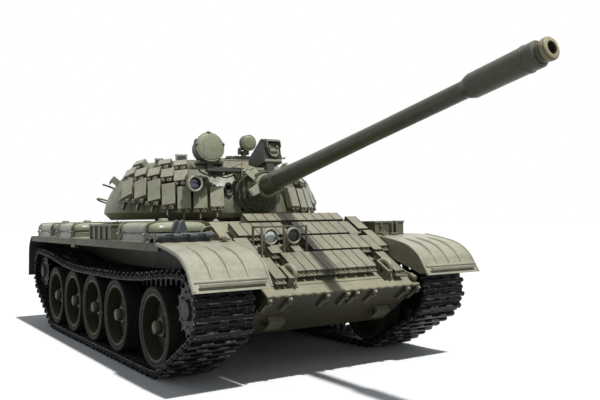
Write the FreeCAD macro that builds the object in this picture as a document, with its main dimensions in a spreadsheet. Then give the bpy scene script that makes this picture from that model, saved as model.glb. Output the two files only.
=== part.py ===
import FreeCAD, Part
import math
import os
from types import SimpleNamespace

import Sketcher
from FreeCAD import Placement, Rotation, Vector

os.makedirs("parts", exist_ok=True)
doc = FreeCAD.newDocument("TrackedTank")

# Driving dimensions in millimetres. Lengths along the hull run from the first road wheel, with the rear
# positive; heights are from the ground; x is positive on the tank's own left.
sizes = {
    # hull tub and lid
    "hull_half_width": 58.0,
    "hull_wall": 2.4,
    "nose_ahead": 69.9,
    "nose_height": 52.1,
    "glacis_angle": 30.0,
    "lower_plate_angle": 35.0,
    "belly_height": 25.5,
    "roof_height": 95.0,
    "deck_start": 214.0,
    "deck_rear_height": 88.5,
    "hull_rear": 310.0,
    "seam_height": 80.0,
    # fenders and mudguards
    "fender_height": 83.5,
    "fender_sheet": 1.5,
    "fender_outer": 104.6,
    "fender_lip": 5.0,
    "fender_front": -25.0,
    "fender_rear": 305.0,
    "mudguard_outer": 106.4,
    "mudguard_drop": 25.3,
    "mudguard_reach": 52.4,
    "flap_reach": 14.0,
    "flap_drop": 39.0,
    # running gear
    "track_centre": 82.5,
    "track_width": 36.2,
    "track_pitch": 8.56,
    "cleat_depth": 3.6,
    "plate_inner": 1.6,
    "wheel_radius": 25.3,
    "wheel_width": 31.8,
    "tyre_depth": 4.0,
    "horn_gap": 5.6,
    "first_gap": 72.6,
    "wheel_gap": 55.4,
    "sprocket_teeth": 14.0,
    "sprocket_behind": 292.0,
    "sprocket_height": 49.5,
    "idler_ahead": 46.5,
    "idler_height": 46.0,
    "axle_radius": 1.6,
    "shaft_radius": 2.0,
    # drive train
    "drive_module": 0.6,
    "drive_gear_teeth": 36.0,
    "drive_pinion_teeth": 12.0,
    "gear_width": 4.0,
    "motor_radius": 10.0,
    "motor_length": 26.0,
    "ring_module": 1.0,
    "ring_gear_teeth": 88.0,
    "traverse_pinion_teeth": 12.0,
    # turret
    "ring_centre": 116.0,
    "ring_hole_radius": 48.0,
    "turret_base": 97.5,
    "turret_half_width": 86.0,
    "turret_half_length": 84.0,
    "turret_offset": 8.0,
    "dome_height": 60.0,
    "turret_roof": 142.0,
    "turret_wall": 3.0,
    "turret_floor": 6.0,
    "turret_undercut": 6.0,
    "mantlet_radius": 13.0,
    "mantlet_width": 25.6,
    "trunnion_ahead": 65.9,
    "trunnion_height": 116.5,
    "trunnion_radius": 2.5,
    "cupola_x": 22.0,
    "cupola_y": -2.0,
    "cupola_radius": 14.5,
    "cupola_height": 6.0,
    "loader_x": -24.0,
    "loader_y": 6.0,
    "hatch_radius": 12.5,
    "hatch_thickness": 2.2,
    "cupola_lamp_radius": 6.5,
    # gun
    "gun_elevation": 11.0,
    "barrel_root": 25.0,
    "barrel_length": 248.3,
    "barrel_root_radius": 7.4,
    "barrel_mid_radius": 5.0,
    "muzzle_radius": 4.7,
    "sleeve_radius": 6.4,
    "sleeve_length": 42.0,
    "sleeve_from_muzzle": 6.0,
    "bore_radius": 3.1,
    "neck_radius": 9.6,
    "search_light_radius": 10.4,
    "search_light_depth": 14.0,
    # armour blocks
    "block_width": 7.7,
    "block_thickness": 4.4,
    "block_standoff": 1.7,
    "turret_block_width": 9.8,
    "turret_block_thickness": 4.6,
    # fits
    "running_gap": 0.05,
    "seat_gap": 0.1,
    "track_gap": 0.2,
    "soft_gap": 0.3,
}
s = SimpleNamespace(**sizes)

sheet = doc.addObject("Spreadsheet::Sheet", "sizes")
for row, (word, value) in enumerate(sizes.items(), start=1):
    sheet.set(f"A{row}", word)
    sheet.set(f"B{row}", str(value))
    sheet.setAlias(f"B{row}", word)
doc.recompute()

# Values that follow from the driving dimensions.
glacis = math.radians(s.glacis_angle)
lower_plate = math.radians(s.lower_plate_angle)
nose = (-s.nose_ahead, s.nose_height)
glacis_top_y = nose[0] + (s.roof_height - s.nose_height) / math.tan(glacis)
belly_front_y = nose[0] + (s.nose_height - s.belly_height) / math.tan(lower_plate)
wheel_ys = [0.0] + [s.first_gap + i * s.wheel_gap for i in range(4)]
wheel_z = s.cleat_depth + s.plate_inner + s.track_gap + s.wheel_radius
pin_z = s.cleat_depth
wrap_radius = s.track_pitch * s.sprocket_teeth / (2 * math.pi)
tooth_tip_radius = wrap_radius * math.cos(math.pi / s.sprocket_teeth) - s.plate_inner - s.track_gap
elevation = math.radians(s.gun_elevation)
muzzle_s = s.barrel_root + s.barrel_length
muzzle_y = s.ring_centre - s.trunnion_ahead - muzzle_s * math.cos(elevation) - s.muzzle_radius * math.sin(elevation)
rearmost_y = s.fender_rear + s.flap_reach + s.fender_sheet
datum_y = (muzzle_y + rearmost_y) / 2

nodes = []


def bind(thing, **values):
    """Set properties; a text value is an expression on the sheet."""
    for word, value in values.items():
        if isinstance(value, str):
            thing.setExpression(word, value)
        else:
            setattr(thing, word, value)
    return thing


def place(thing, at, turn=Rotation()):
    """Put a thing at a point; text coordinates are expressions."""
    thing.Placement = Placement(Vector(*[0 if isinstance(v, str) else v for v in at]), turn)
    for axis, value in zip("xyz", at):
        if isinstance(value, str):
            thing.setExpression(f"Placement.Base.{axis}", value)
    return thing


def box(name, size, at=(0, 0, 0), turn=Rotation()):
    thing = doc.addObject("Part::Box", name)
    bind(thing, Length=size[0], Width=size[1], Height=size[2])
    return place(thing, at, turn)


def block(name, size, centre, turn=Rotation()):
    """A box centred in length and width on a point, standing up from it along its own z."""
    thing = doc.addObject("Part::Box", name)
    bind(thing, Length=size[0], Width=size[1], Height=size[2])
    corner = Placement(Vector(-size[0] / 2, -size[1] / 2, 0), Rotation())
    thing.Placement = Placement(Vector(*centre), turn) * corner
    return thing


def cylinder(name, radius, height, at=(0, 0, 0), along=(0, 0, 1)):
    thing = doc.addObject("Part::Cylinder", name)
    bind(thing, Radius=radius, Height=height)
    return place(thing, at, Rotation(Vector(0, 0, 1), Vector(*along)))


def cone(name, radius_low, radius_high, height, at=(0, 0, 0), along=(0, 0, 1)):
    thing = doc.addObject("Part::Cone", name)
    bind(thing, Radius1=radius_low, Radius2=radius_high, Height=height)
    return place(thing, at, Rotation(Vector(0, 0, 1), Vector(*along)))


def compound(name, members):
    return bind(doc.addObject("Part::Compound", name), Links=members)


def fuse(name, members):
    return bind(doc.addObject("Part::MultiFuse", name), Shapes=members)


def cut(name, base, tools):
    tool = tools[0] if len(tools) == 1 else compound(name + "_tools", tools)
    return bind(doc.addObject("Part::Cut", name), Base=base, Tool=tool)


def add_loop(sketch, loop):
    """Add a closed outline; an entry is a point, or a (middle, end) pair for an arc to that end."""
    first = sketch.GeometryCount
    ends = [entry[1] if isinstance(entry[0], tuple) else entry for entry in loop]
    for i, entry in enumerate(loop):
        start = Vector(*ends[i - 1], 0)
        end = Vector(*ends[i], 0)
        if isinstance(entry[0], tuple):
            sketch.addGeometry(Part.Arc(start, Vector(*entry[0], 0), end), False)
        else:
            sketch.addGeometry(Part.LineSegment(start, end), False)
    return first


def sketched(name, role, loops, circles=(), lift=0):
    """A body holding one sketch on one of its own origin planes."""
    body = doc.addObject("PartDesign::Body", name)
    sketch = body.newObject("Sketcher::SketchObject", name + "_outline")
    plane = next(f for f in body.Origin.OriginFeatures if f.Role == role)
    sketch.AttachmentSupport = [(plane, "")]
    sketch.MapMode = "FlatFace"
    if isinstance(lift, str):
        sketch.setExpression("AttachmentOffset.Base.z", lift)
    else:
        sketch.AttachmentOffset = Placement(Vector(0, 0, lift), Rotation())
    for loop in loops:
        add_loop(sketch, loop)
    for centre, radius in circles:
        index = sketch.addGeometry(Part.Circle(Vector(*centre, 0), Vector(0, 0, 1), 1.0), False)
        constraint = sketch.addConstraint(Sketcher.Constraint("Radius", index, 1.0))
        if isinstance(radius, str):
            sketch.setExpression(f"Constraints[{constraint}]", radius)
        else:
            sketch.setDatum(constraint, FreeCAD.Units.Quantity(radius, FreeCAD.Units.Length))
    return body, sketch


def padded(name, role, loops, length, lift=0, circles=()):
    """A sketch padded along its plane's normal, starting at the lift."""
    body, sketch = sketched(name, role, loops, circles, lift)
    pad = body.newObject("PartDesign::Pad", name + "_pad")
    pad.Profile = sketch
    bind(pad, Length=length)
    return body


def spun(name, role, loop, axis):
    """A sketch turned a full round about one of its own axes."""
    body, sketch = sketched(name, role, [loop])
    turn = body.newObject("PartDesign::Revolution", name + "_turn")
    turn.Profile = sketch
    turn.ReferenceAxis = (sketch, [axis])
    turn.Angle = 360
    return body


def mirrored(name, source):
    thing = doc.addObject("Part::Mirroring", name)
    thing.Source = source
    thing.Normal = Vector(1, 0, 0)
    return thing


def node(label, thing, at=None, turn=Rotation()):
    """Name a finished sub-part, put it in the row's frame and list it for export."""
    thing.Label = label
    if at is not None:
        place(thing, at, turn)
    nodes.append((label, thing))
    return thing


def hull_node(label, thing):
    return node(label, thing, (0, -datum_y, 0))


def turret_node(label, thing):
    return node(label, thing, (0, s.ring_centre - datum_y, 0))


def gun_node(label, thing):
    at = (0, s.ring_centre - s.trunnion_ahead - datum_y, s.trunnion_height)
    return node(label, thing, at, Rotation(Vector(1, 0, 0), -s.gun_elevation))


def on_glacis(x, up_slope, lift=0.0):
    """A point on the glacis plate, by distance up from the nose and height off the plate."""
    return (x, nose[0] + up_slope * math.cos(glacis) - lift * math.sin(glacis),
            nose[1] + up_slope * math.sin(glacis) + lift * math.cos(glacis))


glacis_turn = Rotation(Vector(1, 0, 0), s.glacis_angle)


def on_lower_plate(x, down, lift=0.0):
    """A point on the lower front plate, by distance down from the nose."""
    return (x, nose[0] + down * math.cos(lower_plate) - lift * math.sin(lower_plate),
            nose[1] - down * math.sin(lower_plate) - lift * math.cos(lower_plate))


lower_turn = Rotation(Vector(1, 0, 0), 180 - s.lower_plate_angle)


# Hull ---------------------------------------------------------------------------------------------

def seam_points():
    """Where the lid's inner face meets the lower plate, and where it meets the seam's height."""
    under = s.hull_wall / math.cos(glacis)
    along = under / (math.sin(lower_plate) + math.cos(lower_plate) * math.tan(glacis))
    lip = (nose[0] + along * math.cos(lower_plate), nose[1] - along * math.sin(lower_plate))
    return lip, nose[0] + (s.seam_height + under - nose[1]) / math.tan(glacis)


def lower_hull():
    """An open tub with holes for the drive shafts, and four posts for the lid's screws."""
    wall = s.hull_wall
    lip, seam_y = seam_points()
    tail = s.hull_rear - 10
    tail_low = s.belly_height + 14
    outer = [lip, (belly_front_y, s.belly_height), (tail, s.belly_height), (s.hull_rear, tail_low),
             (s.hull_rear, s.seam_height), (seam_y, s.seam_height)]
    run = wall / math.sin(lower_plate)
    inner_low = belly_front_y + run - wall / math.tan(lower_plate)
    open_top = s.seam_height + 1
    inner = [(lip[0] + run + 3, lip[1] - 0.5), (inner_low + 0.5, s.belly_height + wall),
             (tail - wall, s.belly_height + wall), (s.hull_rear - wall, tail_low), (s.hull_rear - wall, open_top),
             (seam_y + 4, open_top)]
    tub = padded("tub", "YZ_Plane", [outer], "2 * sizes.hull_half_width", "-sizes.hull_half_width")
    hollow = padded("tub_hollow", "YZ_Plane", [inner], "2 * (sizes.hull_half_width - sizes.hull_wall)",
                    "sizes.hull_wall - sizes.hull_half_width")
    shaft_hole = cylinder("shaft_hole", "sizes.shaft_radius + sizes.running_gap", "2 * sizes.hull_half_width + 2",
                          ("-sizes.hull_half_width - 1", s.sprocket_behind, s.sprocket_height), (1, 0, 0))
    shell = cut("tub_shell", tub, [hollow, shaft_hole])
    posts = []
    post_width, post_foot, screw_depth = 7.0, 70.0, 12.0
    post_top = s.roof_height - wall
    for i, (x, y) in enumerate(screw_places()):
        reach = s.hull_half_width - wall - abs(x) + post_width / 2
        low = -s.hull_half_width + wall if x < 0 else x - post_width / 2
        post = box(f"post_{i}", (reach, post_width, post_top - post_foot), (low, y - post_width / 2, post_foot))
        hole = cylinder(f"post_hole_{i}", screw_radius + s.running_gap, screw_depth, (x, y, post_top - screw_depth))
        posts.append(cut(f"drilled_post_{i}", post, [hole]))
    return hull_node("lower_hull", fuse("lower_hull", [shell] + posts))


screw_radius = 1.0


def screw_places():
    x = s.hull_half_width - s.hull_wall - 4.5
    return [(-x, 8.0), (x, 50.0), (-x, 208.0), (x, 208.0)]


def upper_hull():
    """The lid: glacis plate, roof with the turret ring's hole, and the sloping engine deck."""
    wall = s.hull_wall
    lip, seam_y = seam_points()
    outer = [nose, (glacis_top_y, s.roof_height), (s.deck_start, s.roof_height),
             (s.hull_rear, s.deck_rear_height), (s.hull_rear, s.seam_height), (seam_y, s.seam_height), lip]
    roof_under = s.roof_height - wall
    inner_front = nose[0] + (roof_under + wall / math.cos(glacis) - nose[1]) / math.tan(glacis)
    open_low = s.seam_height - 3
    inner = [(seam_y - 2, s.seam_height - 2 * math.tan(glacis)), (inner_front, roof_under),
             (s.deck_start, roof_under), (s.hull_rear - wall, s.deck_rear_height - wall),
             (s.hull_rear - wall, open_low), (seam_y - 2, open_low)]
    lid = padded("lid", "YZ_Plane", [outer], "2 * sizes.hull_half_width", "-sizes.hull_half_width")
    hollow = padded("lid_hollow", "YZ_Plane", [inner], "2 * (sizes.hull_half_width - sizes.hull_wall)",
                    "sizes.hull_wall - sizes.hull_half_width")
    ring_hole = cylinder("ring_hole", "sizes.ring_hole_radius", 20,
                         (0, "sizes.ring_centre", "sizes.roof_height - 10"))
    hatch_well = cylinder("hatch_well", 9.0, 20, (*driver_hatch_place(), s.roof_height - 10))
    holes = [cylinder(f"screw_hole_{i}", screw_radius + 0.15, 20, (x, y, s.roof_height - 10))
             for i, (x, y) in enumerate(screw_places())]
    return hull_node("upper_hull", cut("upper_hull", lid, [hollow, ring_hole, hatch_well] + holes))


def driver_hatch_place():
    return 31.0, 24.0


def hull_screws():
    screws = []
    for i, (x, y) in enumerate(screw_places()):
        shank = cylinder(f"shank_{i}", screw_radius, 11.0, (x, y, s.roof_height - 9.0))
        head = cylinder(f"screw_head_{i}", 2.2, 1.3, (x, y, "sizes.roof_height"))
        screws.append(fuse(f"screw_{i}", [shank, head]))
    return hull_node("hull_screws", compound("hull_screws", screws))


# Fenders and mudguards ------------------------------------------------------------------------------

def fenders():
    """A flat shelf each side with a deep outer lip and cross ribs underneath."""
    sides = []
    for side, word in ((-1, "right"), (1, "left")):
        low = "sizes.hull_half_width" if side > 0 else "-sizes.fender_outer"
        wide = "sizes.fender_outer - sizes.hull_half_width"
        long = "sizes.fender_rear - sizes.fender_front"
        shelf = box(f"shelf_{word}", (wide, long, "sizes.fender_sheet"),
                    (low, "sizes.fender_front", "sizes.fender_height - sizes.fender_sheet"))
        lip_x = "sizes.fender_outer - sizes.fender_sheet" if side > 0 else "-sizes.fender_outer"
        lip = box(f"lip_{word}", ("sizes.fender_sheet", long, "sizes.fender_lip"),
                  (lip_x, "sizes.fender_front", "sizes.fender_height - sizes.fender_lip"))
        members = [shelf, lip]
        for i in range(6):
            y = s.fender_front + 20 + i * (s.fender_rear - s.fender_front - 40) / 5
            members.append(box(f"fender_rib_{word}_{i}", ("sizes.fender_outer - sizes.hull_half_width", 1.2, 3.5),
                               (low, y, "sizes.fender_height - 3.5")))
        sides.append(fuse(f"fender_{word}", members))
    return hull_node("fenders", compound("fenders", sides))


def front_mudguards():
    """Bent sheet with three long ribs, a cross rib and an inner side wall."""
    t = s.fender_sheet
    start = (s.fender_front, s.fender_height)
    # shares of the reach and of the drop along the side line, from the fender down to the lower edge
    crest, knee, swell, bend, foot = [
        (start[0] - along * s.mudguard_reach, start[1] - down * s.mudguard_drop)
        for along, down in ((0.28, 0.08), (0.55, 0.19), (0.73, 0.345), (0.86, 0.56), (1.0, 1.0))]

    def off(point, back, down):
        return point[0] + back * t, point[1] - down * t

    curve = [start, (crest, knee), (swell, bend), foot, off(foot, 1, 0), off(bend, 0.8, 0.6),
             (off(swell, 0.55, 0.83), off(knee, 0.25, 1)), (off(crest, 0, 1), off(start, 0, 1))]
    wall_curve = [off(start, 0, 0.5), (off(crest, 0, 0.5), off(knee, 0, 0.5)),
                  (off(swell, 0.2, 0.4), off(bend, 0.5, 0.3)), (foot[0] + 0.5 * t, foot[1] + 1),
                  (foot[0] + 8, foot[1] + 1), (start[0], start[1] - 10)]
    rib_curve = [(knee[0] + 10, knee[1] + 1.2), ((swell[0] - 0.5, swell[1] + 0.8), (bend[0] - 0.7, bend[1] + 0.3)),
                 (bend[0] + 0.5, bend[1] - 0.5), ((swell[0] + 0.5, swell[1] - 0.6), (knee[0] + 10, knee[1] - 0.6))]
    inner = s.hull_half_width + s.seat_gap
    width = s.mudguard_outer - inner
    rib_width, cross_inset = 1.4, 4.0
    for side, word in ((-1, "right"), (1, "left")):
        bent = padded(f"mudguard_sheet_{word}", "YZ_Plane", [curve], width, inner if side > 0 else -s.mudguard_outer)
        wall = padded(f"mudguard_wall_{word}", "YZ_Plane", [wall_curve], "sizes.fender_sheet",
                      inner if side > 0 else -inner - t)
        ribs = [padded(f"mudguard_rib_{word}_{i}", "YZ_Plane", [rib_curve], rib_width,
                       side * (inner + across * width) - rib_width / 2)
                for i, across in enumerate((0.27, 0.5, 0.73))]
        cross = box(f"mudguard_cross_{word}", (width - 2 * cross_inset, 1.2, 1.4),
                    ((inner if side > 0 else -s.mudguard_outer) + cross_inset, foot[0] - 0.1, foot[1] + 3.2))
        hull_node(f"front_mudguard_{word}", fuse(f"front_mudguard_{word}", [bent, wall, cross] + ribs))


def rear_mudguards():
    flaps = []
    for side, word in ((-1, "right"), (1, "left")):
        t = s.fender_sheet
        y0, z0 = s.fender_rear, s.fender_height
        y1 = y0 + s.flap_reach
        shoulder = (y0 + 0.6 * s.flap_reach, z0 - 0.12 * s.flap_drop)
        waist = z0 - 0.5 * s.flap_drop
        foot = z0 - s.flap_drop
        loop = [(y0, z0), (shoulder, (y1, waist)), (y1 + t, foot), (y1, foot), (y1 - t, waist),
                ((shoulder[0] - t, shoulder[1] - t), (y0, z0 - t))]
        inner = s.hull_half_width + 6
        low = inner if side > 0 else -s.fender_outer
        flaps.append(padded(f"flap_{word}", "YZ_Plane", [loop], s.fender_outer - inner, low))
    return hull_node("rear_mudguards", compound("rear_mudguards", flaps))


# Glacis fittings ------------------------------------------------------------------------------------

# (distance up the glacis, block length, first block's side x, blocks)
glacis_rows = [(15.6, 20.3, -32.0, 8), (38.1, 17.3, -5.2, 6), (57.7, 15.6, -3.2, 5), (57.7, 15.6, -50.5, 5),
               (76.0, 9.6, -35.0, 6), (76.0, 9.6, 12.0, 4)]
# (distance up, x of the low side, width, length)
glacis_singles = [(34.6, 41.9, 7.7, 18.5), (55.7, 36.0, 9.0, 17.0), (8.6, 40.5, 7.7, 23.0), (39.0, 49.6, 8.0, 21.0),
                  (62.4, 47.6, 9.0, 17.5), (9.5, -49.5, 8.0, 22.0), (38.0, -56.0, 10.0, 17.0),
                  (36.2, -37.6, 8.5, 7.0), (36.2, -20.5, 7.0, 7.0)]


def armour_block(name, width, length, thickness, standoff, at, turn):
    """A plain brick raised off its plate on a narrow foot."""
    lift = turn.multVec(Vector(0, 0, 1))
    top = Vector(*at) + lift * standoff
    brick = block(name, (width, length, thickness), tuple(top), turn)
    foot = block(name + "_foot", (width - 3, length - 4, standoff), at, turn)
    return fuse(name + "_raised", [brick, foot])


def glacis_armour_blocks():
    blocks = []
    for row, (up, length, start, count) in enumerate(glacis_rows):
        for i in range(count):
            x = start + (i + 0.5) * (s.block_width + 0.1)
            at = on_glacis(x, up + length / 2)
            blocks.append(armour_block(f"glacis_block_{row}_{i}", s.block_width, length, s.block_thickness,
                                       s.block_standoff, at, glacis_turn))
    for i, (up, low, width, length) in enumerate(glacis_singles):
        at = on_glacis(low + width / 2, up + length / 2)
        blocks.append(armour_block(f"glacis_single_{i}", width, length, s.block_thickness, s.block_standoff, at,
                                   glacis_turn))
    return hull_node("glacis_armour_blocks", compound("glacis_armour_blocks", blocks))


def tow_fittings():
    """Two hooks with loops on the glacis, ribs with bolts under the nose and two lower tow lugs."""
    things = []
    hook_up = 14.0
    for i, x in enumerate((-39.0, 35.5)):
        root = on_glacis(x, hook_up)
        plate = block(f"hook_plate_{i}", (4.0, 13.0, 7.0), root, glacis_turn)
        throat = cylinder(f"hook_throat_{i}", 1.7, 8, (x - 4, *on_glacis(x, hook_up - 0.5, 3.6)[1:]), (1, 0, 0))
        things.append(cut(f"hook_{i}", plate, [throat]))
    for i, x in enumerate((-56.0, -42.3, -15.8, -0.9, 6.3, 20.3, 47.5, 56.5)):
        rib = block(f"nose_rib_{i}", (2.6, 13.0, 2.0), on_lower_plate(x, 8.0), lower_turn)
        outward = tuple(lower_turn.multVec(Vector(0, 0, 1)))
        bolt = cylinder(f"nose_bolt_{i}", 1.3, 3.4, on_lower_plate(x, 3.6), outward)
        things.append(fuse(f"nose_bracket_{i}", [rib, bolt]))
    for i, x in enumerate((-40.8, 41.7)):
        lug = block(f"tow_lug_{i}", (11.0, 9.0, 4.5), on_lower_plate(x, 29.0), lower_turn)
        eye = cylinder(f"tow_eye_{i}", 1.5, 14, (x - 7, *on_lower_plate(x, 29.0, 2.3)[1:]), (1, 0, 0))
        things.append(cut(f"tow_bracket_{i}", lug, [eye]))
    return hull_node("tow_fittings", compound("tow_fittings", things))


lamp_places = [(-34.4, 33.0), (-17.3, 33.0)]
lamp_height = 85.5
lamp_radius = 5.0


def headlights():
    """Two forward lamps on posts that stand on the glacis."""
    post_width, post_back = 2.4, 2.5
    rim = lamp_radius - 0.8
    profile = [(0.0, 0.0), (0.0, 5.5), (3.0, 5.2), (lamp_radius - 0.6, 2.0), (lamp_radius, 0.0), (lamp_radius, -2.4),
               (rim, -2.4), (rim, 0.0)]
    lamps = []
    for i, (x, ahead) in enumerate(lamp_places):
        case = spun(f"lamp_case_{i}", "XZ_Plane", profile, "V_Axis")
        place(case, (x, -ahead, lamp_height), Rotation(Vector(1, 0, 0), -90))
        foot_z = nose[1] + (-ahead + post_back + post_width / 2 - nose[0]) * math.tan(glacis)
        post = block(f"lamp_post_{i}", (post_width, post_width, lamp_height - 2.5 - foot_z),
                     (x, -ahead + post_back, foot_z))
        lamps.append(fuse(f"lamp_{i}", [case, post]))
    return hull_node("headlights", compound("headlights", lamps))


def headlight_lenses():
    discs = [cylinder(f"lens_{i}", lamp_radius - 0.85, 1.6, (x, -ahead - 0.1, lamp_height), (0, -1, 0))
             for i, (x, ahead) in enumerate(lamp_places)]
    return hull_node("headlight_lenses", compound("headlight_lenses", discs))


def headlight_guard():
    """Flat bar frame standing on the glacis in front of the lamps."""
    bar, front, depth, top = 1.1, -39.3, 12.0, 91.0
    rightmost, middle, leftmost = -43.5, -27.5, -10.6
    foot = nose[1] + (front - nose[0]) * math.tan(glacis)
    back_foot = foot + depth * math.tan(glacis)
    bars = [box(f"guard_post_{i}", (bar, bar, top - foot), (x, front, foot + 0.65))
            for i, x in enumerate((rightmost, middle, leftmost))]
    bars.append(box("guard_top", (leftmost - rightmost + bar, bar, bar), (rightmost, front, top)))
    for i, x in enumerate((rightmost, leftmost)):
        bars.append(box(f"guard_stay_{i}", (bar, depth, bar), (x, front, top)))
        bars.append(box(f"guard_back_{i}", (bar, bar, top - back_foot + 0.4), (x, front + depth - bar, back_foot)))
    return hull_node("headlight_guard", fuse("headlight_guard", bars))


def driver_periscopes():
    """Two hooded periscope heads at the glacis' top edge, ahead of the driver's hatch."""
    heads = []
    for i, x in enumerate((26.0, 40.5)):
        head = block(f"periscope_{i}", (12.5, 5.0, 5.0), (x, glacis_top_y + 3.2, s.roof_height))
        window = block(f"periscope_slot_{i}", (10.5, 1.2, 3.2), (x, glacis_top_y + 0.7, s.roof_height + 0.9))
        heads.append(cut(f"periscope_head_{i}", head, [window]))
    return hull_node("driver_periscopes", compound("driver_periscopes", heads))


# Fender load ----------------------------------------------------------------------------------------

fuel_tank_spans = [(231.0, 297.0), (162.0, 228.0), (-6.4, 63.0)]


def fuel_tanks():
    """Low flat tanks with chamfered plan corners and a raised, smaller pressed top."""
    tanks = []
    for i, (front, rear) in enumerate(fuel_tank_spans):
        low, high = -s.fender_outer + 3.2, -s.hull_half_width - 3.0
        corner = 6.0
        plan = [(low, front + corner), (low, rear - corner), (low + corner, rear), (high, rear), (high, front),
                (low + corner, front)]
        body = padded(f"tank_base_{i}", "XY_Plane", [plan], 6.6, "sizes.fender_height")
        inset = 3.0
        top_plan = [(low + inset, front + corner + inset), (low + inset, rear - corner - inset),
                    (low + corner + inset, rear - inset), (high - inset, rear - inset), (high - inset, front + inset),
                    (low + corner + inset, front + inset)]
        crown = padded(f"tank_crown_{i}", "XY_Plane", [top_plan], 3.6, s.fender_height + 6.6)
        filler = cylinder(f"tank_filler_{i}", 2.6, 1.8, (low + 12, front + 18, s.fender_height + 10.2))
        strap_y = (front + rear) / 2
        strap = box(f"tank_strap_{i}", (high - low - 4, 2.6, 1.0), (low + 2, strap_y, s.fender_height + 10.0))
        tanks.append(fuse(f"fuel_tank_{i}", [body, crown, filler, strap]))
    return hull_node("fuel_tanks", compound("fuel_tanks", tanks))


def stowage_boxes():
    """A ribbed box on the right fender and two lidded boxes on the left one."""
    things = []
    right = box("right_box", (36.0, 52.0, 9.6), (-s.fender_outer + 3.0, 66.5, s.fender_height))
    ribs = [box(f"right_box_rib_{i}", (1.2, 2.0, 9.6), (-s.fender_outer + 2.0, 67.0 + i * 12.2, s.fender_height))
            for i in range(5)]
    lid = box("right_box_lid", (38.0, 53.0, 1.4), (-s.fender_outer + 2.0, 66.0, s.fender_height + 9.6))
    things.append(fuse("right_stowage", [right, lid] + ribs))
    for i, (front, length, height) in enumerate(((-20.0, 34.0, 10.0), (26.0, 62.0, 9.0), (100.0, 70.0, 9.0))):
        case = box(f"left_box_{i}", (27.0, length, height), (62.0, front, s.fender_height))
        lid = box(f"left_lid_{i}", (28.0, length + 1, 1.3), (61.5, front - 0.5, s.fender_height + height - 1.5))
        latch_z = s.fender_height + height - 4.6
        latches = [box(f"left_latch_{i}_{j}", (2.0, 1.0, 3.6), (66.0 + 14 * j, front - 1.3, latch_z))
                   for j in range(2)]
        things.append(fuse(f"left_stowage_{i}", [case, lid] + latches))
    return hull_node("stowage_boxes", compound("stowage_boxes", things))


def engine_deck_fittings():
    """Two grilles on the sloping deck, a deck cover and the exhaust outlet on the left fender."""
    slope = math.atan2(s.roof_height - s.deck_rear_height, s.hull_rear - s.deck_start)
    turn = Rotation(Vector(1, 0, 0), -math.degrees(slope))
    plate, slot_pitch, edge = 1.6, 2.4, 2.5
    things = []
    for i, (y, length, width) in enumerate(((226.0, 18.0, 96.0), (276.0, 24.0, 84.0))):
        z = s.roof_height - (y - s.deck_start) * math.tan(slope)
        frame = block(f"grille_{i}", (width, length, plate), (0, y, z), turn)
        slots = []
        for j in range(int((length - 4) / slot_pitch) + 1):
            along = -length / 2 + edge + j * slot_pitch
            slots.append(block(f"grille_slot_{i}_{j}", (width - 4, 1.0, 3.0),
                               (0, y + along, z - along * math.tan(slope) + 0.6), turn))
        things.append(cut(f"slotted_grille_{i}", frame, slots))
    cover_y = 250.0
    z = s.roof_height - (cover_y - s.deck_start) * math.tan(slope)
    things.append(block("engine_cover", (70.0, 22.0, plate), (0, cover_y, z), turn))
    exhaust = box("exhaust_case", (26.0, 44.0, 9.0), (s.hull_half_width + 6, 232.0, s.fender_height))
    outlet = box("exhaust_outlet", (12.0, 30.0, 5.0), (s.hull_half_width + 24, 239.0, s.fender_height + 2.0))
    things.append(cut("exhaust", exhaust, [outlet]))
    return hull_node("engine_deck_fittings", compound("engine_deck_fittings", things))


# Tracks ---------------------------------------------------------------------------------------------

def outer_tangent(near, near_radius, far, far_radius):
    """End points of the straight that touches two circles underneath."""
    dy, dz = far[0] - near[0], far[1] - near[1]
    lean = math.asin((near_radius - far_radius) / math.hypot(dy, dz))
    angle = math.atan2(dz, dy) - math.pi / 2 + lean
    circles = ((near, near_radius), (far, far_radius))
    return [(c[0] + r * math.cos(angle), c[1] + r * math.sin(angle)) for c, r in circles]


def clockwise_arc(centre, radius, start, end):
    """Points every 0.3 mm round a circle, turning from the rear over the top to the front reversed."""
    first = math.atan2(start[1] - centre[1], start[0] - centre[0])
    final = math.atan2(end[1] - centre[1], end[0] - centre[0])
    while final > first:
        final -= 2 * math.pi
    steps = max(2, int((first - final) * radius / 0.3))
    angles = [first + (final - first) * i / steps for i in range(steps + 1)]
    return [(centre[0] + radius * math.cos(a), centre[1] + radius * math.sin(a)) for a in angles]


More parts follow.
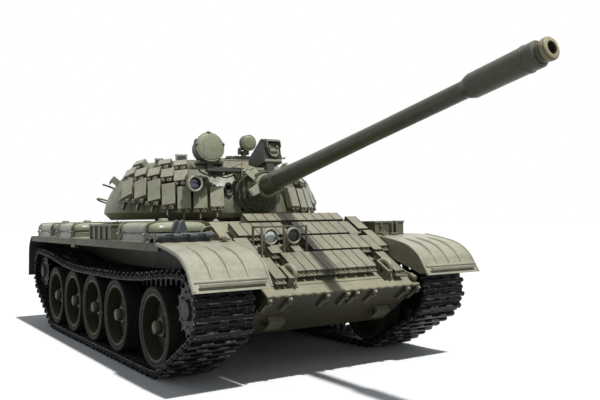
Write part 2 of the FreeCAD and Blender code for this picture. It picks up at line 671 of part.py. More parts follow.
def track_path():
    """Dense points round the pin line: ground run, idler wrap, sagging top run, sprocket wrap."""
    idler = (-s.idler_ahead, s.idler_height)
    sprocket = (s.sprocket_behind, s.sprocket_height)
    # the curls off the ground are a little wider than the wheels, since flat links cut their corners
    clear = s.wheel_radius + s.track_gap + s.plate_inner
    curl = math.hypot(clear, s.track_pitch / 2)
    spread = 1.5
    front, rear = (-spread, pin_z + curl), (wheel_ys[-1] + spread, pin_z + curl)

    rear_low, rear_high = outer_tangent(rear, curl, sprocket, wrap_radius)
    # the front straight is found in mirror image, then turned back
    facing = outer_tangent((spread, front[1]), curl, (s.idler_ahead, idler[1]), wrap_radius)
    front_low, front_high = [(-y, z) for y, z in facing]
    top = wheel_z + clear
    idler_top = (idler[0] + 2.0, idler[1] + wrap_radius)
    sprocket_top = (sprocket[0] - 4.0, sprocket[1] + wrap_radius - 0.4)
    # the slack upper run lies on the middle wheels and rises to both ends
    knots = [idler_top, (-18.0, 63.6), (20.0, 60.2), (60.0, top + 0.6), (110.0, top + 0.1), (160.0, top + 0.1),
             (200.0, top + 2.2), (236.0, top + 6.2), (268.0, 67.0), sprocket_top]
    curve = Part.BSplineCurve()
    curve.interpolate([Vector(0, y, z) for y, z in knots],
                      InitialTangent=Vector(0, 1, -0.02), FinalTangent=Vector(0, 1, 0.12))
    top_run = [(p.y, p.z) for p in curve.discretize(400)]
    ground = [(rear[0] + (front[0] - rear[0]) * i / 600, pin_z) for i in range(601)]
    front_curl = clockwise_arc(front, curl, (front[0], pin_z), front_low)
    idler_wrap = clockwise_arc(idler, wrap_radius, front_high, idler_top)
    sprocket_wrap = clockwise_arc(sprocket, wrap_radius, sprocket_top, rear_high)
    rear_curl = clockwise_arc(rear, curl, rear_low, (rear[0], pin_z))
    return ground + front_curl + idler_wrap + top_run + sprocket_wrap + rear_curl


def track_stations():
    """Pin places evenly spaced along the closed path, each with the run to the next."""
    path = track_path()
    loop = path + [path[0]]
    reach = [0.0]
    for a, b in zip(loop, loop[1:]):
        reach.append(reach[-1] + math.hypot(b[0] - a[0], b[1] - a[1]))
    count = round(reach[-1] / s.track_pitch)
    stations = []
    j = 0
    for i in range(count):
        want = reach[-1] * i / count
        while reach[j + 1] < want:
            j += 1
        part = (want - reach[j]) / max(reach[j + 1] - reach[j], 1e-9)
        stations.append(tuple(loop[j][k] + part * (loop[j + 1][k] - loop[j][k]) for k in (0, 1)))
    return stations


lug_count = 7
pin_radius = 0.6
lug_radius = 1.5


def track_link():
    """One link, lying with its pins along x, its front pin half a pitch ahead and the ground below."""
    half = s.track_width / 2
    lug_pitch = s.track_width / lug_count
    plate = box("link_plate", ("sizes.track_width", s.track_pitch - 2 * lug_radius - 0.5, s.plate_inner + 0.8),
                (-half, -(s.track_pitch / 2 - lug_radius - 0.25), -0.8))
    cleat = box("link_cleat", (s.track_width - 1, 2.2, s.cleat_depth - 0.8), (-half + 0.5, -1.1, -s.cleat_depth))
    horn = padded("link_horn", "YZ_Plane", [[(-1.9, s.plate_inner - 0.5), (1.9, s.plate_inner - 0.5),
                                            (1.0, s.plate_inner + 5.0), (-1.0, s.plate_inner + 5.0)]], 3.4, -1.7)
    members = [plate, cleat, horn]
    for i in range(lug_count):
        ahead = -1 if i % 2 == 0 else 1
        low = -half + i * lug_pitch + 0.1
        wide = lug_pitch - 0.2
        members.append(cylinder(f"lug_{i}", lug_radius, wide, (low, ahead * s.track_pitch / 2, 0), (1, 0, 0)))
        start = -s.track_pitch / 2 if ahead < 0 else 1.5
        members.append(box(f"lug_web_{i}", (wide, s.track_pitch / 2 - 1.5, 2.0), (low, start, -1.0)))
    solid = fuse("link_solid", members)
    bores = [cylinder(f"link_bore_{i}", pin_radius + 0.1, s.track_width + 4, (-half - 2, y, 0), (1, 0, 0))
             for i, y in enumerate((-s.track_pitch / 2, s.track_pitch / 2))]
    return cut("track_link", solid, bores)


def tracks(link):
    """Copies of the one link along the path on each side, and a pin in every joint."""
    stations = track_stations()
    pins = []
    for side, word in ((-1, "right"), (1, "left")):
        links = []
        x = side * s.track_centre
        for i, (y, z) in enumerate(stations):
            y2, z2 = stations[(i + 1) % len(stations)]
            middle = Vector(x, (y + y2) / 2, (z + z2) / 2)
            angle = math.degrees(math.atan2(z2 - z, y2 - y)) + 180
            copy = link.Shape.copy()
            copy.Placement = Placement(middle, Rotation(Vector(1, 0, 0), angle))
            links.append(copy)
            pin = Part.makeCylinder(pin_radius, s.track_width + 2.0, Vector(x - s.track_width / 2 - 1.0, y, z),
                                    Vector(1, 0, 0))
            pins.append(pin)
        belt = doc.addObject("Part::Feature", f"track_{word}")
        belt.Shape = Part.makeCompound(links)
        hull_node(f"track_{word}", belt)
    thing = doc.addObject("Part::Feature", "track_pins")
    thing.Shape = Part.makeCompound(pins)
    hull_node("track_pins", thing)


def spare_links(link):
    """Two links carried across the right fender."""
    copies = []
    for i in range(2):
        copy = link.Shape.copy()
        at = Vector(-88.0, -13.2 - i * (s.track_pitch + 0.2), s.fender_height + s.cleat_depth)
        copy.Placement = Placement(at, Rotation())
        copies.append(copy)
    thing = doc.addObject("Part::Feature", "spare_links")
    thing.Shape = Part.makeCompound(copies)
    return hull_node("spare_links", thing)


# Wheels ---------------------------------------------------------------------------------------------

def scalloped(tip, valley, teeth):
    """A closed outline of pointed teeth with round valleys between them."""
    loop = []
    step = 2 * math.pi / teeth
    for i in range(int(teeth)):
        start, middle, end = (i + 0.03) * step, (i + 0.5) * step, (i + 0.97) * step
        loop.append((tip * math.cos(start), tip * math.sin(start)))
        bottom = (valley * math.cos(middle), valley * math.sin(middle))
        loop.append((bottom, (tip * math.cos(end), tip * math.sin(end))))
    return loop


def road_wheel(word, number, side, y):
    """Twin dished discs on one hub with a bonded tyre on each, turning on a stub axle."""
    name = f"road_wheel_{word}_{number}"
    rim = s.wheel_radius - s.tyre_depth
    bed = rim - 1.6
    half = s.wheel_width / 2
    gap = s.horn_gap / 2
    bore = s.axle_radius + s.running_gap
    profile = [(-13.0, bore), (-13.0, 5.5), (-9.6, 6.0), (-8.6, bed), (-half + 0.6, bed), (-half + 0.6, rim),
               (-gap, rim), (-gap, bed), (-6.4, bed), (-7.4, 6.0), (-7.0, 5.0), (5.0, 5.0), (6.0, 7.0),
               (3.6, bed), (gap, bed), (gap, rim), (half - 0.6, rim), (half - 0.6, bed),
               (5.6, bed), (8.2, 7.0), (11.0, 6.0), (11.6, 4.2), (14.2, 3.8), (14.8, 2.6), (14.8, 0.0),
               (12.0, 0.0), (12.0, bore)]
    disc = spun(name + "_disc", "XY_Plane", profile, "H_Axis")
    chamfer, tread = 0.5, s.wheel_radius
    tyres = []
    for i, (a, b) in enumerate(((-half, -gap), (gap, half))):
        loop = [(a, rim), (b, rim), (b, tread - chamfer), (b - chamfer, tread), (a + chamfer, tread),
                (a, tread - chamfer)]
        tyres.append(spun(f"{name}_tyre_{i}", "XY_Plane", loop, "H_Axis"))
    turn = Rotation(Vector(0, 0, 1), 0 if side > 0 else 180)
    wheel = compound(name, [disc] + tyres)
    return node(name, wheel, (side * s.track_centre, y - datum_y, wheel_z), turn)


def toothed_wheel(name, shaft_out, side, y, z):
    """Two scalloped toothed rims on a hub; a drive sprocket also carries its shaft."""
    face, plate, bolt_circle, bolts = 12.9, 2.5, 10.4, 10
    inner = 0.0 if shaft_out else s.axle_radius + s.running_gap
    back = plate - face if shaft_out else -face
    outline = scalloped(tooth_tip_radius, tooth_tip_radius - 3.4, s.sprocket_teeth)
    rims = [padded(f"{name}_rim_{i}", "YZ_Plane", [outline], plate, low)
            for i, low in enumerate((-face, face - plate))]
    drum = [(back, 9.0), (-3.2, 8.0), (-3.2, 5.0), (3.2, 5.0), (3.2, 8.0), (face - plate, 9.0), (face - plate, inner),
            (back, inner)]
    hub = spun(name + "_hub", "XY_Plane", drum, "H_Axis")
    cap = cone(name + "_cap", 6.5, 5.2, 2.4, (face, 0, 0), (1, 0, 0))
    members = rims + [hub, cap]
    for i in range(bolts):
        angle = 2 * math.pi * i / bolts
        at = (face, bolt_circle * math.cos(angle), bolt_circle * math.sin(angle))
        members.append(cylinder(f"{name}_bolt_{i}", 0.75, 1.0, at, (1, 0, 0)))
    if shaft_out:
        reach = s.track_centre - gear_inner_x()
        members.append(cylinder(name + "_shaft", "sizes.shaft_radius", reach - 5, (-reach, 0, 0), (1, 0, 0)))
        wheel = fuse(name, members)
    else:
        solid = fuse(name + "_solid", members)
        bore = cylinder(name + "_bore", inner, 24.0, (-13.5, 0, 0), (1, 0, 0))
        wheel = cut(name, solid, [bore])
    turn = Rotation(Vector(0, 0, 1), 0 if side > 0 else 180)
    return node(name, wheel, (side * s.track_centre, y - datum_y, z), turn)


def gear_inner_x():
    """Inner end of the sprocket shaft, past the drive gear."""
    return s.hull_half_width - s.hull_wall - 1.0 - s.gear_width - 1.0


def swing_arms():
    """An arm and axle for every road wheel and idler, rooted on the hull side."""
    beam_from, beam_thick, beam_high = 3.4, 3.6, 5.0
    axle_to = s.track_centre - s.hull_half_width + 7.2
    # place of each axle, how far back and up its arm's root lies, and where the axle ends
    places = [(y, wheel_z, -17.0, 8.0, axle_to) for y in wheel_ys]
    places.append((-s.idler_ahead, s.idler_height, 12.0, -4.0, axle_to - 2.0))
    arms = []
    for side, word in ((-1, "right"), (1, "left")):
        for i, (y, z, back, up, axle_end) in enumerate(places):
            pivot = cylinder(f"arm_pivot_{word}_{i}", 4.6, 7.0, (0, back, up), (1, 0, 0))
            beam = box(f"arm_beam_{word}_{i}", (beam_thick, math.hypot(back, up), beam_high))
            lean = Rotation(Vector(1, 0, 0), math.degrees(math.atan2(-up, -back)))
            beam.Placement = Placement(Vector(beam_from, back, up), lean) * Placement(
                Vector(0, 0, -beam_high / 2), Rotation())
            hub = cylinder(f"arm_hub_{word}_{i}", 3.6, beam_thick, (beam_from, 0, 0), (1, 0, 0))
            axle = cylinder(f"arm_axle_{word}_{i}", "sizes.axle_radius", axle_end, (3.6, 0, 0), (1, 0, 0))
            arm = fuse(f"arm_{word}_{i}", [pivot, beam, hub, axle])
            if side < 0:
                arm = mirrored(f"arm_mirror_{word}_{i}", arm)
            arms.append(place(arm, (side * s.hull_half_width, y, z)))
    return hull_node("swing_arms", compound("swing_arms", arms))


def gearbox_housings():
    """A stepped round housing on each hull side that carries the sprocket shaft."""
    cases = []
    for side, word in ((-1, "right"), (1, "left")):
        along = (side, 0, 0)
        y, z = s.sprocket_behind, s.sprocket_height
        step = 5.0
        big = cylinder(f"housing_big_{word}", 11.0, step, (side * s.hull_half_width, y, z), along)
        small = cone(f"housing_small_{word}", 9.0, 6.5, step, (side * (s.hull_half_width + step), y, z), along)
        bore = cylinder(f"housing_bore_{word}", "sizes.shaft_radius + sizes.running_gap", 14.0,
                        (side * (s.hull_half_width - 1), y, z), along)
        cases.append(cut(f"housing_{word}", fuse(f"housing_solid_{word}", [big, small]), [bore]))
    return hull_node("gearbox_housings", compound("gearbox_housings", cases))


# Drive ----------------------------------------------------------------------------------------------

def gear_outline(teeth, module, phase=0.0):
    """Straight-flanked teeth, thinner than the gaps so that a pair turns with backlash."""
    pitch_radius = teeth * module / 2
    root, tip = pitch_radius - 1.25 * module, pitch_radius + 0.85 * module
    step = 2 * math.pi / teeth
    loop = []
    for i in range(int(teeth)):
        for part, radius in ((-0.27, root), (-0.09, tip), (0.09, tip), (0.27, root)):
            angle = (i + part + phase) * step
            loop.append((radius * math.cos(angle), radius * math.sin(angle)))
    return loop


def drive_gears():
    """A gear pinned on each sprocket shaft and a pinion on each motor shaft, ahead of it."""
    centre_gap = s.drive_module * (s.drive_gear_teeth + s.drive_pinion_teeth) / 2
    low = s.hull_half_width - s.hull_wall - 1.0 - s.gear_width
    for side, word in ((-1, "right"), (1, "left")):
        start = low if side > 0 else -low - s.gear_width
        gear = padded(f"drive_gear_{word}", "YZ_Plane", [gear_outline(s.drive_gear_teeth, s.drive_module)],
                      "sizes.gear_width", start, [((0, 0), "sizes.shaft_radius")])
        node(f"drive_gear_{word}", gear, (0, s.sprocket_behind - datum_y, s.sprocket_height))
        pinion = padded(f"motor_pinion_{word}", "YZ_Plane",
                        [gear_outline(s.drive_pinion_teeth, s.drive_module, 0.5)],
                        "sizes.gear_width", start)
        shaft_start = low - 7.0 if side > 0 else -low - 1.0
        shaft = cylinder(f"motor_shaft_{word}", 1.0, 8.0, (shaft_start, 0, 0), (1, 0, 0))
        whole = fuse(f"motor_pinion_whole_{word}", [pinion, shaft])
        node(f"motor_pinion_{word}", whole, (0, s.sprocket_behind - centre_gap - datum_y, s.sprocket_height))
    return centre_gap


def electric_motors(centre_gap):
    """Two drive motors on their saddles, and the upright traverse motor."""
    things = []
    low = s.hull_half_width - s.hull_wall - 1.0 - s.gear_width - 2.0
    floor = s.belly_height + s.hull_wall
    y = s.sprocket_behind - centre_gap
    for side, word in ((-1, "right"), (1, "left")):
        can = cylinder(f"motor_can_{word}", "sizes.motor_radius", "sizes.motor_length",
                       (side * low, y, s.sprocket_height), (-side, 0, 0))
        bore = cylinder(f"motor_bore_{word}", 1.05, 6.0, (side * (low + 0.5), y, s.sprocket_height), (-side, 0, 0))
        saddle = block(f"motor_saddle_{word}", (12.0, 14.0, s.sprocket_height - floor - s.motor_radius * 0.7),
                       (side * (low - 13), y, floor))
        things.append(cut(f"drive_motor_{word}", fuse(f"motor_solid_{word}", [can, saddle]), [bore]))
    pinion_y = s.ring_centre + traverse_gap()
    can = cylinder("traverse_can", "sizes.motor_radius", 30.0, (0, pinion_y, 50.0))
    stand = block("traverse_stand", (14.0, 14.0, 50.0 - floor), (0, pinion_y, floor))
    bore = cylinder("traverse_bore", 1.05, 6.0, (0, pinion_y, 74.5))
    things.append(cut("traverse_motor", fuse("traverse_solid", [can, stand]), [bore]))
    return hull_node("electric_motors", compound("electric_motors", things))


def traverse_gap():
    return s.ring_module * (s.ring_gear_teeth + s.traverse_pinion_teeth) / 2


def traverse_pinion():
    phase = 0.5 if int(s.traverse_pinion_teeth) % 4 == 0 else 0.0
    toothed = padded("traverse_teeth", "XY_Plane",
                     [gear_outline(s.traverse_pinion_teeth, s.ring_module, phase)], 5.0, 84.0)
    shaft = cylinder("traverse_shaft", 1.0, 12.0, (0, 0, 75.0))
    return node("traverse_pinion", fuse("traverse_pinion", [toothed, shaft]),
                (0, s.ring_centre + traverse_gap() - datum_y, 0))


def battery_and_board():
    floor = s.belly_height + s.hull_wall
    cell_radius, cell_pitch, cells_wide = 9.4, 18.0, 4
    first_x = -cell_pitch * (cells_wide - 1) / 2
    cells = [cylinder(f"cell_{i}", cell_radius, 70.0, (first_x + cell_pitch * i, 60.0, floor + 10.0), (0, 1, 0))
             for i in range(cells_wide)]
    tray = box("battery_tray", (74.0, 74.0, 4.0), (-37.0, 58.0, floor))
    hull_node("battery_pack", fuse("battery_pack", cells + [tray]))
    board = box("board", (60.0, 50.0, 1.6), (-30.0, 190.0, floor + 6.0))
    legs = [cylinder(f"board_leg_{i}", 2.0, 6.0, (x, y, floor)) for i, (x, y) in
            enumerate(((-26, 194), (26, 194), (-26, 236), (26, 236)))]
    chips = [box(f"chip_{i}", (12.0, 12.0, 2.0), (-20.0 + 20 * i, 205.0, floor + 7.6)) for i in range(2)]
    plug = box("plug", (14.0, 6.0, 7.0), (-7.0, 228.0, floor + 7.6))
    hull_node("control_board", fuse("control_board", [board, plug] + legs + chips))


# Driver's hatch -------------------------------------------------------------------------------------

def driver_hatch():
    """A low domed lid with a hinge lug at its outer edge."""
    x, y = driver_hatch_place()
    lid = spun("hatch_dome", "XZ_Plane", [(0, 0), (12.5, 0), (12.5, 0.8), (10.5, 1.8), (0, 3.0)], "V_Axis")
    lug = box("hatch_lug", (4.5, 4.0, 1.6), (10.5, -2.0, 0))
    knuckle = cylinder("hatch_knuckle", 0.75, 4.0, (15.0, -2.0, 0.8), (0, 1, 0))
    plug = cylinder("hatch_plug", 8.6, 2.0, (0, 0, -2.0))
    lid_whole = fuse("driver_hatch", [lid, lug, knuckle, plug])
    return node("driver_hatch", lid_whole, (x, y - datum_y, s.roof_height + s.seat_gap))


# Turret ---------------------------------------------------------------------------------------------

def dome_section(height):
    """How much the turret's plan shrinks at a height above its base."""
    return math.sqrt(max(0.0, 1 - (height / s.dome_height) ** 2))


def dome_loft(name, half_width, half_length, height_scale, heights):
    """A loft through ellipses that shrink with height."""
    rings = []
    for i, height in enumerate(heights):
        shrink = math.sqrt(max(0.0, 1 - (height / height_scale) ** 2))
        ring = doc.addObject("Part::Ellipse", f"{name}_ring_{i}")
        ring.MajorRadius = max(half_length, half_width) * shrink
        ring.MinorRadius = min(half_length, half_width) * shrink
        turn = Rotation(Vector(0, 0, 1), 90 if half_length > half_width else 0)
        ring.Placement = Placement(Vector(0, s.turret_offset, s.turret_base + height), turn)
        rings.append(ring)
    loft = doc.addObject("Part::Loft", name)
    loft.Sections = rings
    loft.Solid = True
    return loft


def turret_heights():
    roof = s.turret_roof - s.turret_base
    return [roof * part for part in (0.0, 0.2, 0.4, 0.58, 0.74, 0.88, 1.0)]


def outer_dome(name):
    return dome_loft(name, s.turret_half_width, s.turret_half_length, s.dome_height, turret_heights())


def turret_shell():
    """Hollow cast shell with a floor, a front slot for the mantlet and trunnion cheeks."""
    wall = s.turret_wall
    outer = outer_dome("turret_outer")
    roof = s.turret_roof - s.turret_base
    inner_heights = [s.turret_floor] + turret_heights()[2:-1] + [roof - wall]
    inner = dome_loft("turret_inner", s.turret_half_width - wall, s.turret_half_length - wall,
                      s.dome_height - wall, inner_heights)
    slot_low = s.trunnion_height - s.mantlet_radius - 1.0
    slot_wide = s.mantlet_width + 1.0
    slot = box("mantlet_slot", (slot_wide, 40.0, 2 * s.mantlet_radius + 2.5),
               (-slot_wide / 2, -s.trunnion_ahead - 26.0, slot_low))
    ring_bore = cylinder("turret_floor_hole", 38.0, 12.0, (0, 0, s.turret_base - 4))
    roof_cut = "sizes.turret_roof - 10"
    hatch_hole = cylinder("loader_hole", "sizes.hatch_radius - 1.5", 20.0,
                          ("sizes.loader_x", "sizes.loader_y", roof_cut))
    cupola_hole = cylinder("cupola_hole", "sizes.cupola_radius - 2.5", 20.0,
                           ("sizes.cupola_x", "sizes.cupola_y", roof_cut))
    # the casting's lower edge turns in, so that it passes over the driver's hatch
    lean, far = s.turret_undercut, s.turret_half_width + 20
    foot = s.turret_half_width - lean
    skirt = spun("turret_skirt", "XZ_Plane", [(foot, -0.1), (far, -0.1), (far, far - foot)], "V_Axis")
    place(skirt, (0, "sizes.turret_offset", "sizes.turret_base"))
    shell = cut("turret_hollow", outer, [inner])
    cheeks = []
    for side, word in ((-1, "right"), (1, "left")):
        low = slot_wide / 2 if side > 0 else -slot_wide / 2 - 3.0
        cheek = box(f"cheek_{word}", (3.0, 16.0, 24.0), (low, -s.trunnion_ahead - 6.0, s.turret_base + 1.0))
        cheeks.append(cheek)
    # the cheeks may not stand out of the casting, so only their share inside it is kept
    inside = doc.addObject("Part::MultiCommon", "cheeks_inside")
    inside.Shapes = [fuse("cheek_pair", cheeks), outer_dome("turret_outer_again")]
    trunnion_bore = cylinder("trunnion_bore", "sizes.trunnion_radius + sizes.running_gap", 60.0,
                             (-30.0, -s.trunnion_ahead, s.trunnion_height), (1, 0, 0))
    whole = fuse("turret_with_cheeks", [shell, inside])
    recess = box("breech_recess", (17.0, 26.0, 8.0), (-8.5, -56.0, s.turret_base - 1))
    tools = [slot, ring_bore, hatch_hole, cupola_hole, trunnion_bore, skirt, recess]
    return turret_node("turret_shell", cut("turret_shell", whole, tools))


def dome_frame(azimuth, height, standoff=0.0):
    """Place and turn of a piece lying on the dome; azimuth runs from dead ahead to the tank's right."""
    angle = math.radians(azimuth)
    shrink = dome_section(height)
    a, b = s.turret_half_width * shrink, s.turret_half_length * shrink
    ux, uy = -math.sin(angle), -math.cos(angle)
    # distance from the ring's centre to the ellipse whose centre lies behind it
    p = (ux / a) ** 2 + (uy / b) ** 2
    q = -2 * uy * s.turret_offset / b ** 2
    r = (s.turret_offset / b) ** 2 - 1
    reach = (-q + math.sqrt(q * q - 4 * p * r)) / (2 * p)
    point = Vector(ux * reach, uy * reach, s.turret_base + height)
    normal = Vector(point.x / s.turret_half_width ** 2, (point.y - s.turret_offset) / s.turret_half_length ** 2,
                    height / s.dome_height ** 2).normalize()
    across = Vector(0, 0, 1).cross(normal).normalize()
    up = normal.cross(across)
    turn = Rotation(across, up, normal, "ZXY")
    return point + normal * standoff, turn


# (azimuth from dead ahead, height of the block's middle above the turret's base, block height, lean)
turret_blocks = [(24.2, 13.8, 15.5, 0.0), (32.6, 13.0, 15.5, 1.0), (40.8, 13.6, 17.0, 4.0), (49.2, 16.0, 16.5, 8.0),
                 (57.8, 18.8, 17.0, 14.0), (66.6, 20.2, 15.5, 19.0), (76.2, 20.8, 15.5, 24.0),
                 (44.8, 28.3, 10.0, 6.0), (53.4, 30.4, 8.5, 9.0), (62.8, 31.4, 8.0, 14.0), (72.6, 31.8, 8.0, 18.0),
                 (83.0, 32.4, 8.0, 22.0), (48.0, 37.4, 6.0, 8.0), (60.0, 38.6, 6.0, 12.0), (84.0, 39.6, 6.0, 16.0)]


def turret_armour_blocks():
    """Bricks in rows round both cheeks, each on a foot trimmed to the casting."""
    blocks = []
    for side in (-1, 1):
        for i, (azimuth, height, tall, lean) in enumerate(turret_blocks):
            at, turn = dome_frame(azimuth * -side, height, s.running_gap)
            upright = turn * Rotation(Vector(0, 0, 1), -side * lean)
            name = f"turret_block_{'right' if side < 0 else 'left'}_{i}"
            blocks.append(armour_block(name, s.turret_block_width, tall, s.turret_block_thickness,
                                       s.block_standoff, tuple(at), upright))
    lone_at, lone_turn = dome_frame(112.0, 30.0, s.running_gap)
    blocks.append(block("turret_block_lone", (5.0, 5.0, 6.0), tuple(lone_at), lone_turn))
    return turret_node("turret_armour_blocks", compound("turret_armour_blocks", blocks))


def turret_ring_gear():
    """The turret's spigot, turning in the roof's hole, with the traverse teeth below the roof."""
    low = s.roof_height - s.hull_wall - 0.6
    spigot = cylinder("spigot", "sizes.ring_hole_radius - sizes.running_gap", s.turret_base - low, (0, 0, low))
    toothed = padded("ring_teeth", "XY_Plane", [gear_outline(s.ring_gear_teeth, s.ring_module)], 6.0, low - 6.0)
    hole = cylinder("ring_inside", 38.0, 30.0, (0, 0, low - 10))
    return turret_node("turret_ring_gear", cut("turret_ring_gear", fuse("ring_solid", [spigot, toothed]), [hole]))


def loader_hatch():
    r, thick = s.hatch_radius, s.hatch_thickness
    lid = spun("loader_lid", "XZ_Plane", [(0, 0), (r, 0), (r, 1.4), (r - 1.5, thick), (0, thick + 0.6)], "V_Axis")
    lug = box("loader_lug", (4.6, 5.0, 1.8), ("-sizes.hatch_radius - 2.6", -2.5, 0))
    knuckle = cylinder("loader_knuckle", 0.8, 5.0, ("-sizes.hatch_radius - 2.6", -2.5, 0.9), (0, 1, 0))
    handle = box("loader_handle", (6.0, 1.2, 1.4), (-3.0, -5.0, s.hatch_thickness))
    return node("loader_hatch", fuse("loader_hatch", [lid, lug, knuckle, handle]),
                ("sizes.loader_x", s.ring_centre + s.loader_y - datum_y, s.turret_roof + s.seat_gap))


def commander_cupola():
    """A turning ring with vision blocks round the front and a spigot in the roof."""
    ring = spun("cupola_ring", "XZ_Plane",
                [(s.cupola_radius - 5, 0), (s.cupola_radius, 0), (s.cupola_radius - 1.2, s.cupola_height),
                 (s.cupola_radius - 5, s.cupola_height)], "V_Axis")
    spigot = spun("cupola_spigot", "XZ_Plane",
                  [(s.cupola_radius - 5, -3.5), (s.cupola_radius - 2.5 - s.running_gap, -3.5),
                   (s.cupola_radius - 2.5 - s.running_gap, 0.5), (s.cupola_radius - 5, 0.5)], "V_Axis")
    scopes = []
    for i, degrees in enumerate((-150, -120, -90, -60, -30)):
        turn = Rotation(Vector(0, 0, 1), degrees + 90)
        angle = math.radians(degrees)
        reach = s.cupola_radius - 2.4
        at = (reach * math.cos(angle), reach * math.sin(angle), s.cupola_height - 0.5)
        scopes.append(block(f"cupola_scope_{i}", (5.0, 3.0, 1.8), at, turn))
    bracket = box("lamp_bracket", (3.0, 4.4, 6.5), (-1.5, -s.cupola_radius + 0.4, s.cupola_height - 1.0))
    pin_hole = cylinder("lamp_pin_hole", 1.05, 6.0, (-3.0, -s.cupola_radius + 2.9, s.cupola_height + 3.4), (1, 0, 0))
    solid = fuse("cupola_solid", [ring, spigot, bracket] + scopes)
    return node("commander_cupola", cut("commander_cupola", solid, [pin_hole]),
                ("sizes.cupola_x", s.ring_centre + s.cupola_y - datum_y, s.turret_roof + s.seat_gap))


def commander_hatch():
    lid = spun("commander_lid", "XZ_Plane", [(0, 0), (9.2, 0), (9.2, 1.2), (0, 2.2)], "V_Axis")
    lug = box("commander_lug", (4.0, 4.0, 1.2), (-2.0, 8.0, 0))
    knuckle = cylinder("commander_knuckle", 0.55, 4.0, (-2.0, 12.0, 0.6), (1, 0, 0))
    return node("commander_hatch", fuse("commander_hatch", [lid, lug, knuckle]),
                ("sizes.cupola_x", s.ring_centre + s.cupola_y - datum_y,
                 s.turret_roof + s.cupola_height + 2 * s.seat_gap))


def cupola_searchlight():
    """A small drum lamp on a pin through the cupola's bracket."""
    r = s.cupola_lamp_radius
    profile = [(0, 0), (r - 2.5, 0), (r, 4.0), (r, 9.0), (r - 0.6, 9.4), (0, 9.4)]
    drum = spun("small_drum", "XZ_Plane", profile, "V_Axis")
    place(drum, (0, -1.0, r + 1.6), Rotation(Vector(1, 0, 0), 90))
    pin = cylinder("small_pin", 1.0, 9.0, (-4.5, 0, 0), (1, 0, 0))
    forks = [box(f"small_fork_{i}", (1.6, 3.4, 5.0), (x, -1.7, -1.0)) for i, x in enumerate((-4.5, 2.9))]
    ears = [box(f"small_ear_{i}", (1.6, 5.0, 2.6), (x, -4.8, 2.2)) for i, x in enumerate((-4.5, 2.9))]
    at = ("sizes.cupola_x", s.ring_centre + s.cupola_y - s.cupola_radius + 2.9 - datum_y,
          s.turret_roof + s.seat_gap + s.cupola_height + 3.4)
    return node("cupola_searchlight", fuse("cupola_searchlight", [drum, pin] + forks + ears), at)


def turret_lamp():
    """A round lamp ahead of the right cheek, on a short stalk from the casting."""
    r, depth, wall = 5.4, 7.5, 0.9
    centre = Vector(-49.5, 47.0 - s.ring_centre, 122.3)
    profile = [(0, 0), (r - 1.5, 0), (r, 2.5), (r, depth), (r - wall, depth), (r - wall, depth - 2), (0, depth - 2)]
    drum = spun("lamp_drum", "XZ_Plane", profile, "V_Axis")
    place(drum, tuple(centre + Vector(0, 3.0, 0)), Rotation(Vector(1, 0, 0), 90))
    inward = Vector(0.45, 0.89, 0.0)
    stalk = cylinder("lamp_stalk", 1.4, 18.0, tuple(centre + Vector(0, 1.5, 0)), tuple(inward))
    raw = fuse("lamp_raw", [drum, stalk])
    return turret_node("turret_lamp", cut("turret_lamp", raw, [outer_dome("turret_outer_for_lamp")]))


def elevation_servo():
    """A servo standing on the turret floor beside the trunnion's right end."""
    floor = s.turret_base + s.turret_floor
    case = box("servo_case", (12.0, 20.0, 20.0), (-36.0, -s.trunnion_ahead + 17.0, floor))
    foot = box("servo_foot", (12.0, 26.0, 2.0), (-36.0, -s.trunnion_ahead + 14.0, floor))
    return turret_node("elevation_servo", fuse("elevation_servo", [case, foot]))


# Gun, drawn level with its trunnion at the origin and the muzzle towards -y --------------------------

def gun_barrel():
    """Tube with a root collar, a fume sleeve near the muzzle and a muzzle ring."""
    root, end = s.barrel_root, s.barrel_root + s.barrel_length
    sleeve_end = end - s.sleeve_from_muzzle
    sleeve_start = sleeve_end - s.sleeve_length
    shank, collar, muzzle, sleeve = 6.0, s.barrel_root_radius, s.muzzle_radius, s.sleeve_radius
    bore_depth = 70.0
    profile = [(0, 12.0), (shank, 12.0), (shank, -root + 1.5), (collar, -root + 1.5), (collar, -root - 14.0),
               (collar - 0.8, -root - 15.5), (s.barrel_mid_radius + 0.7, -root - 62.0),
               (s.barrel_mid_radius, -root - 122.0), (muzzle, -sleeve_start + 3.5), (sleeve - 0.5, -sleeve_start),
               (sleeve, -sleeve_start - 2.0), (sleeve, -sleeve_end + 1.0), (sleeve - 0.8, -sleeve_end),
               (muzzle + 0.2, -sleeve_end), (muzzle + 0.2, -sleeve_end - 2.0), (muzzle + 0.7, -sleeve_end - 3.0),
               (muzzle + 0.7, -end + 0.6), (muzzle, -end), (s.bore_radius, -end), (s.bore_radius, -end + bore_depth),
               (0, -end + bore_depth + 1.5)]
    return gun_node("gun_barrel", spun("gun_barrel", "XY_Plane", profile, "V_Axis"))


def neck_room(name):
    """The neck's own cylinder, to trim what stands on it."""
    return cylinder(name, "sizes.neck_radius", 60.0, (0, 12.0, 0), (0, -1, 0))


def drum_room(name):
    """The mantlet drum's own cylinder, to trim what reaches it."""
    return cylinder(name, "sizes.mantlet_radius - 0.2", "sizes.mantlet_width",
                    ("-sizes.mantlet_width / 2", 0, 0), (1, 0, 0))


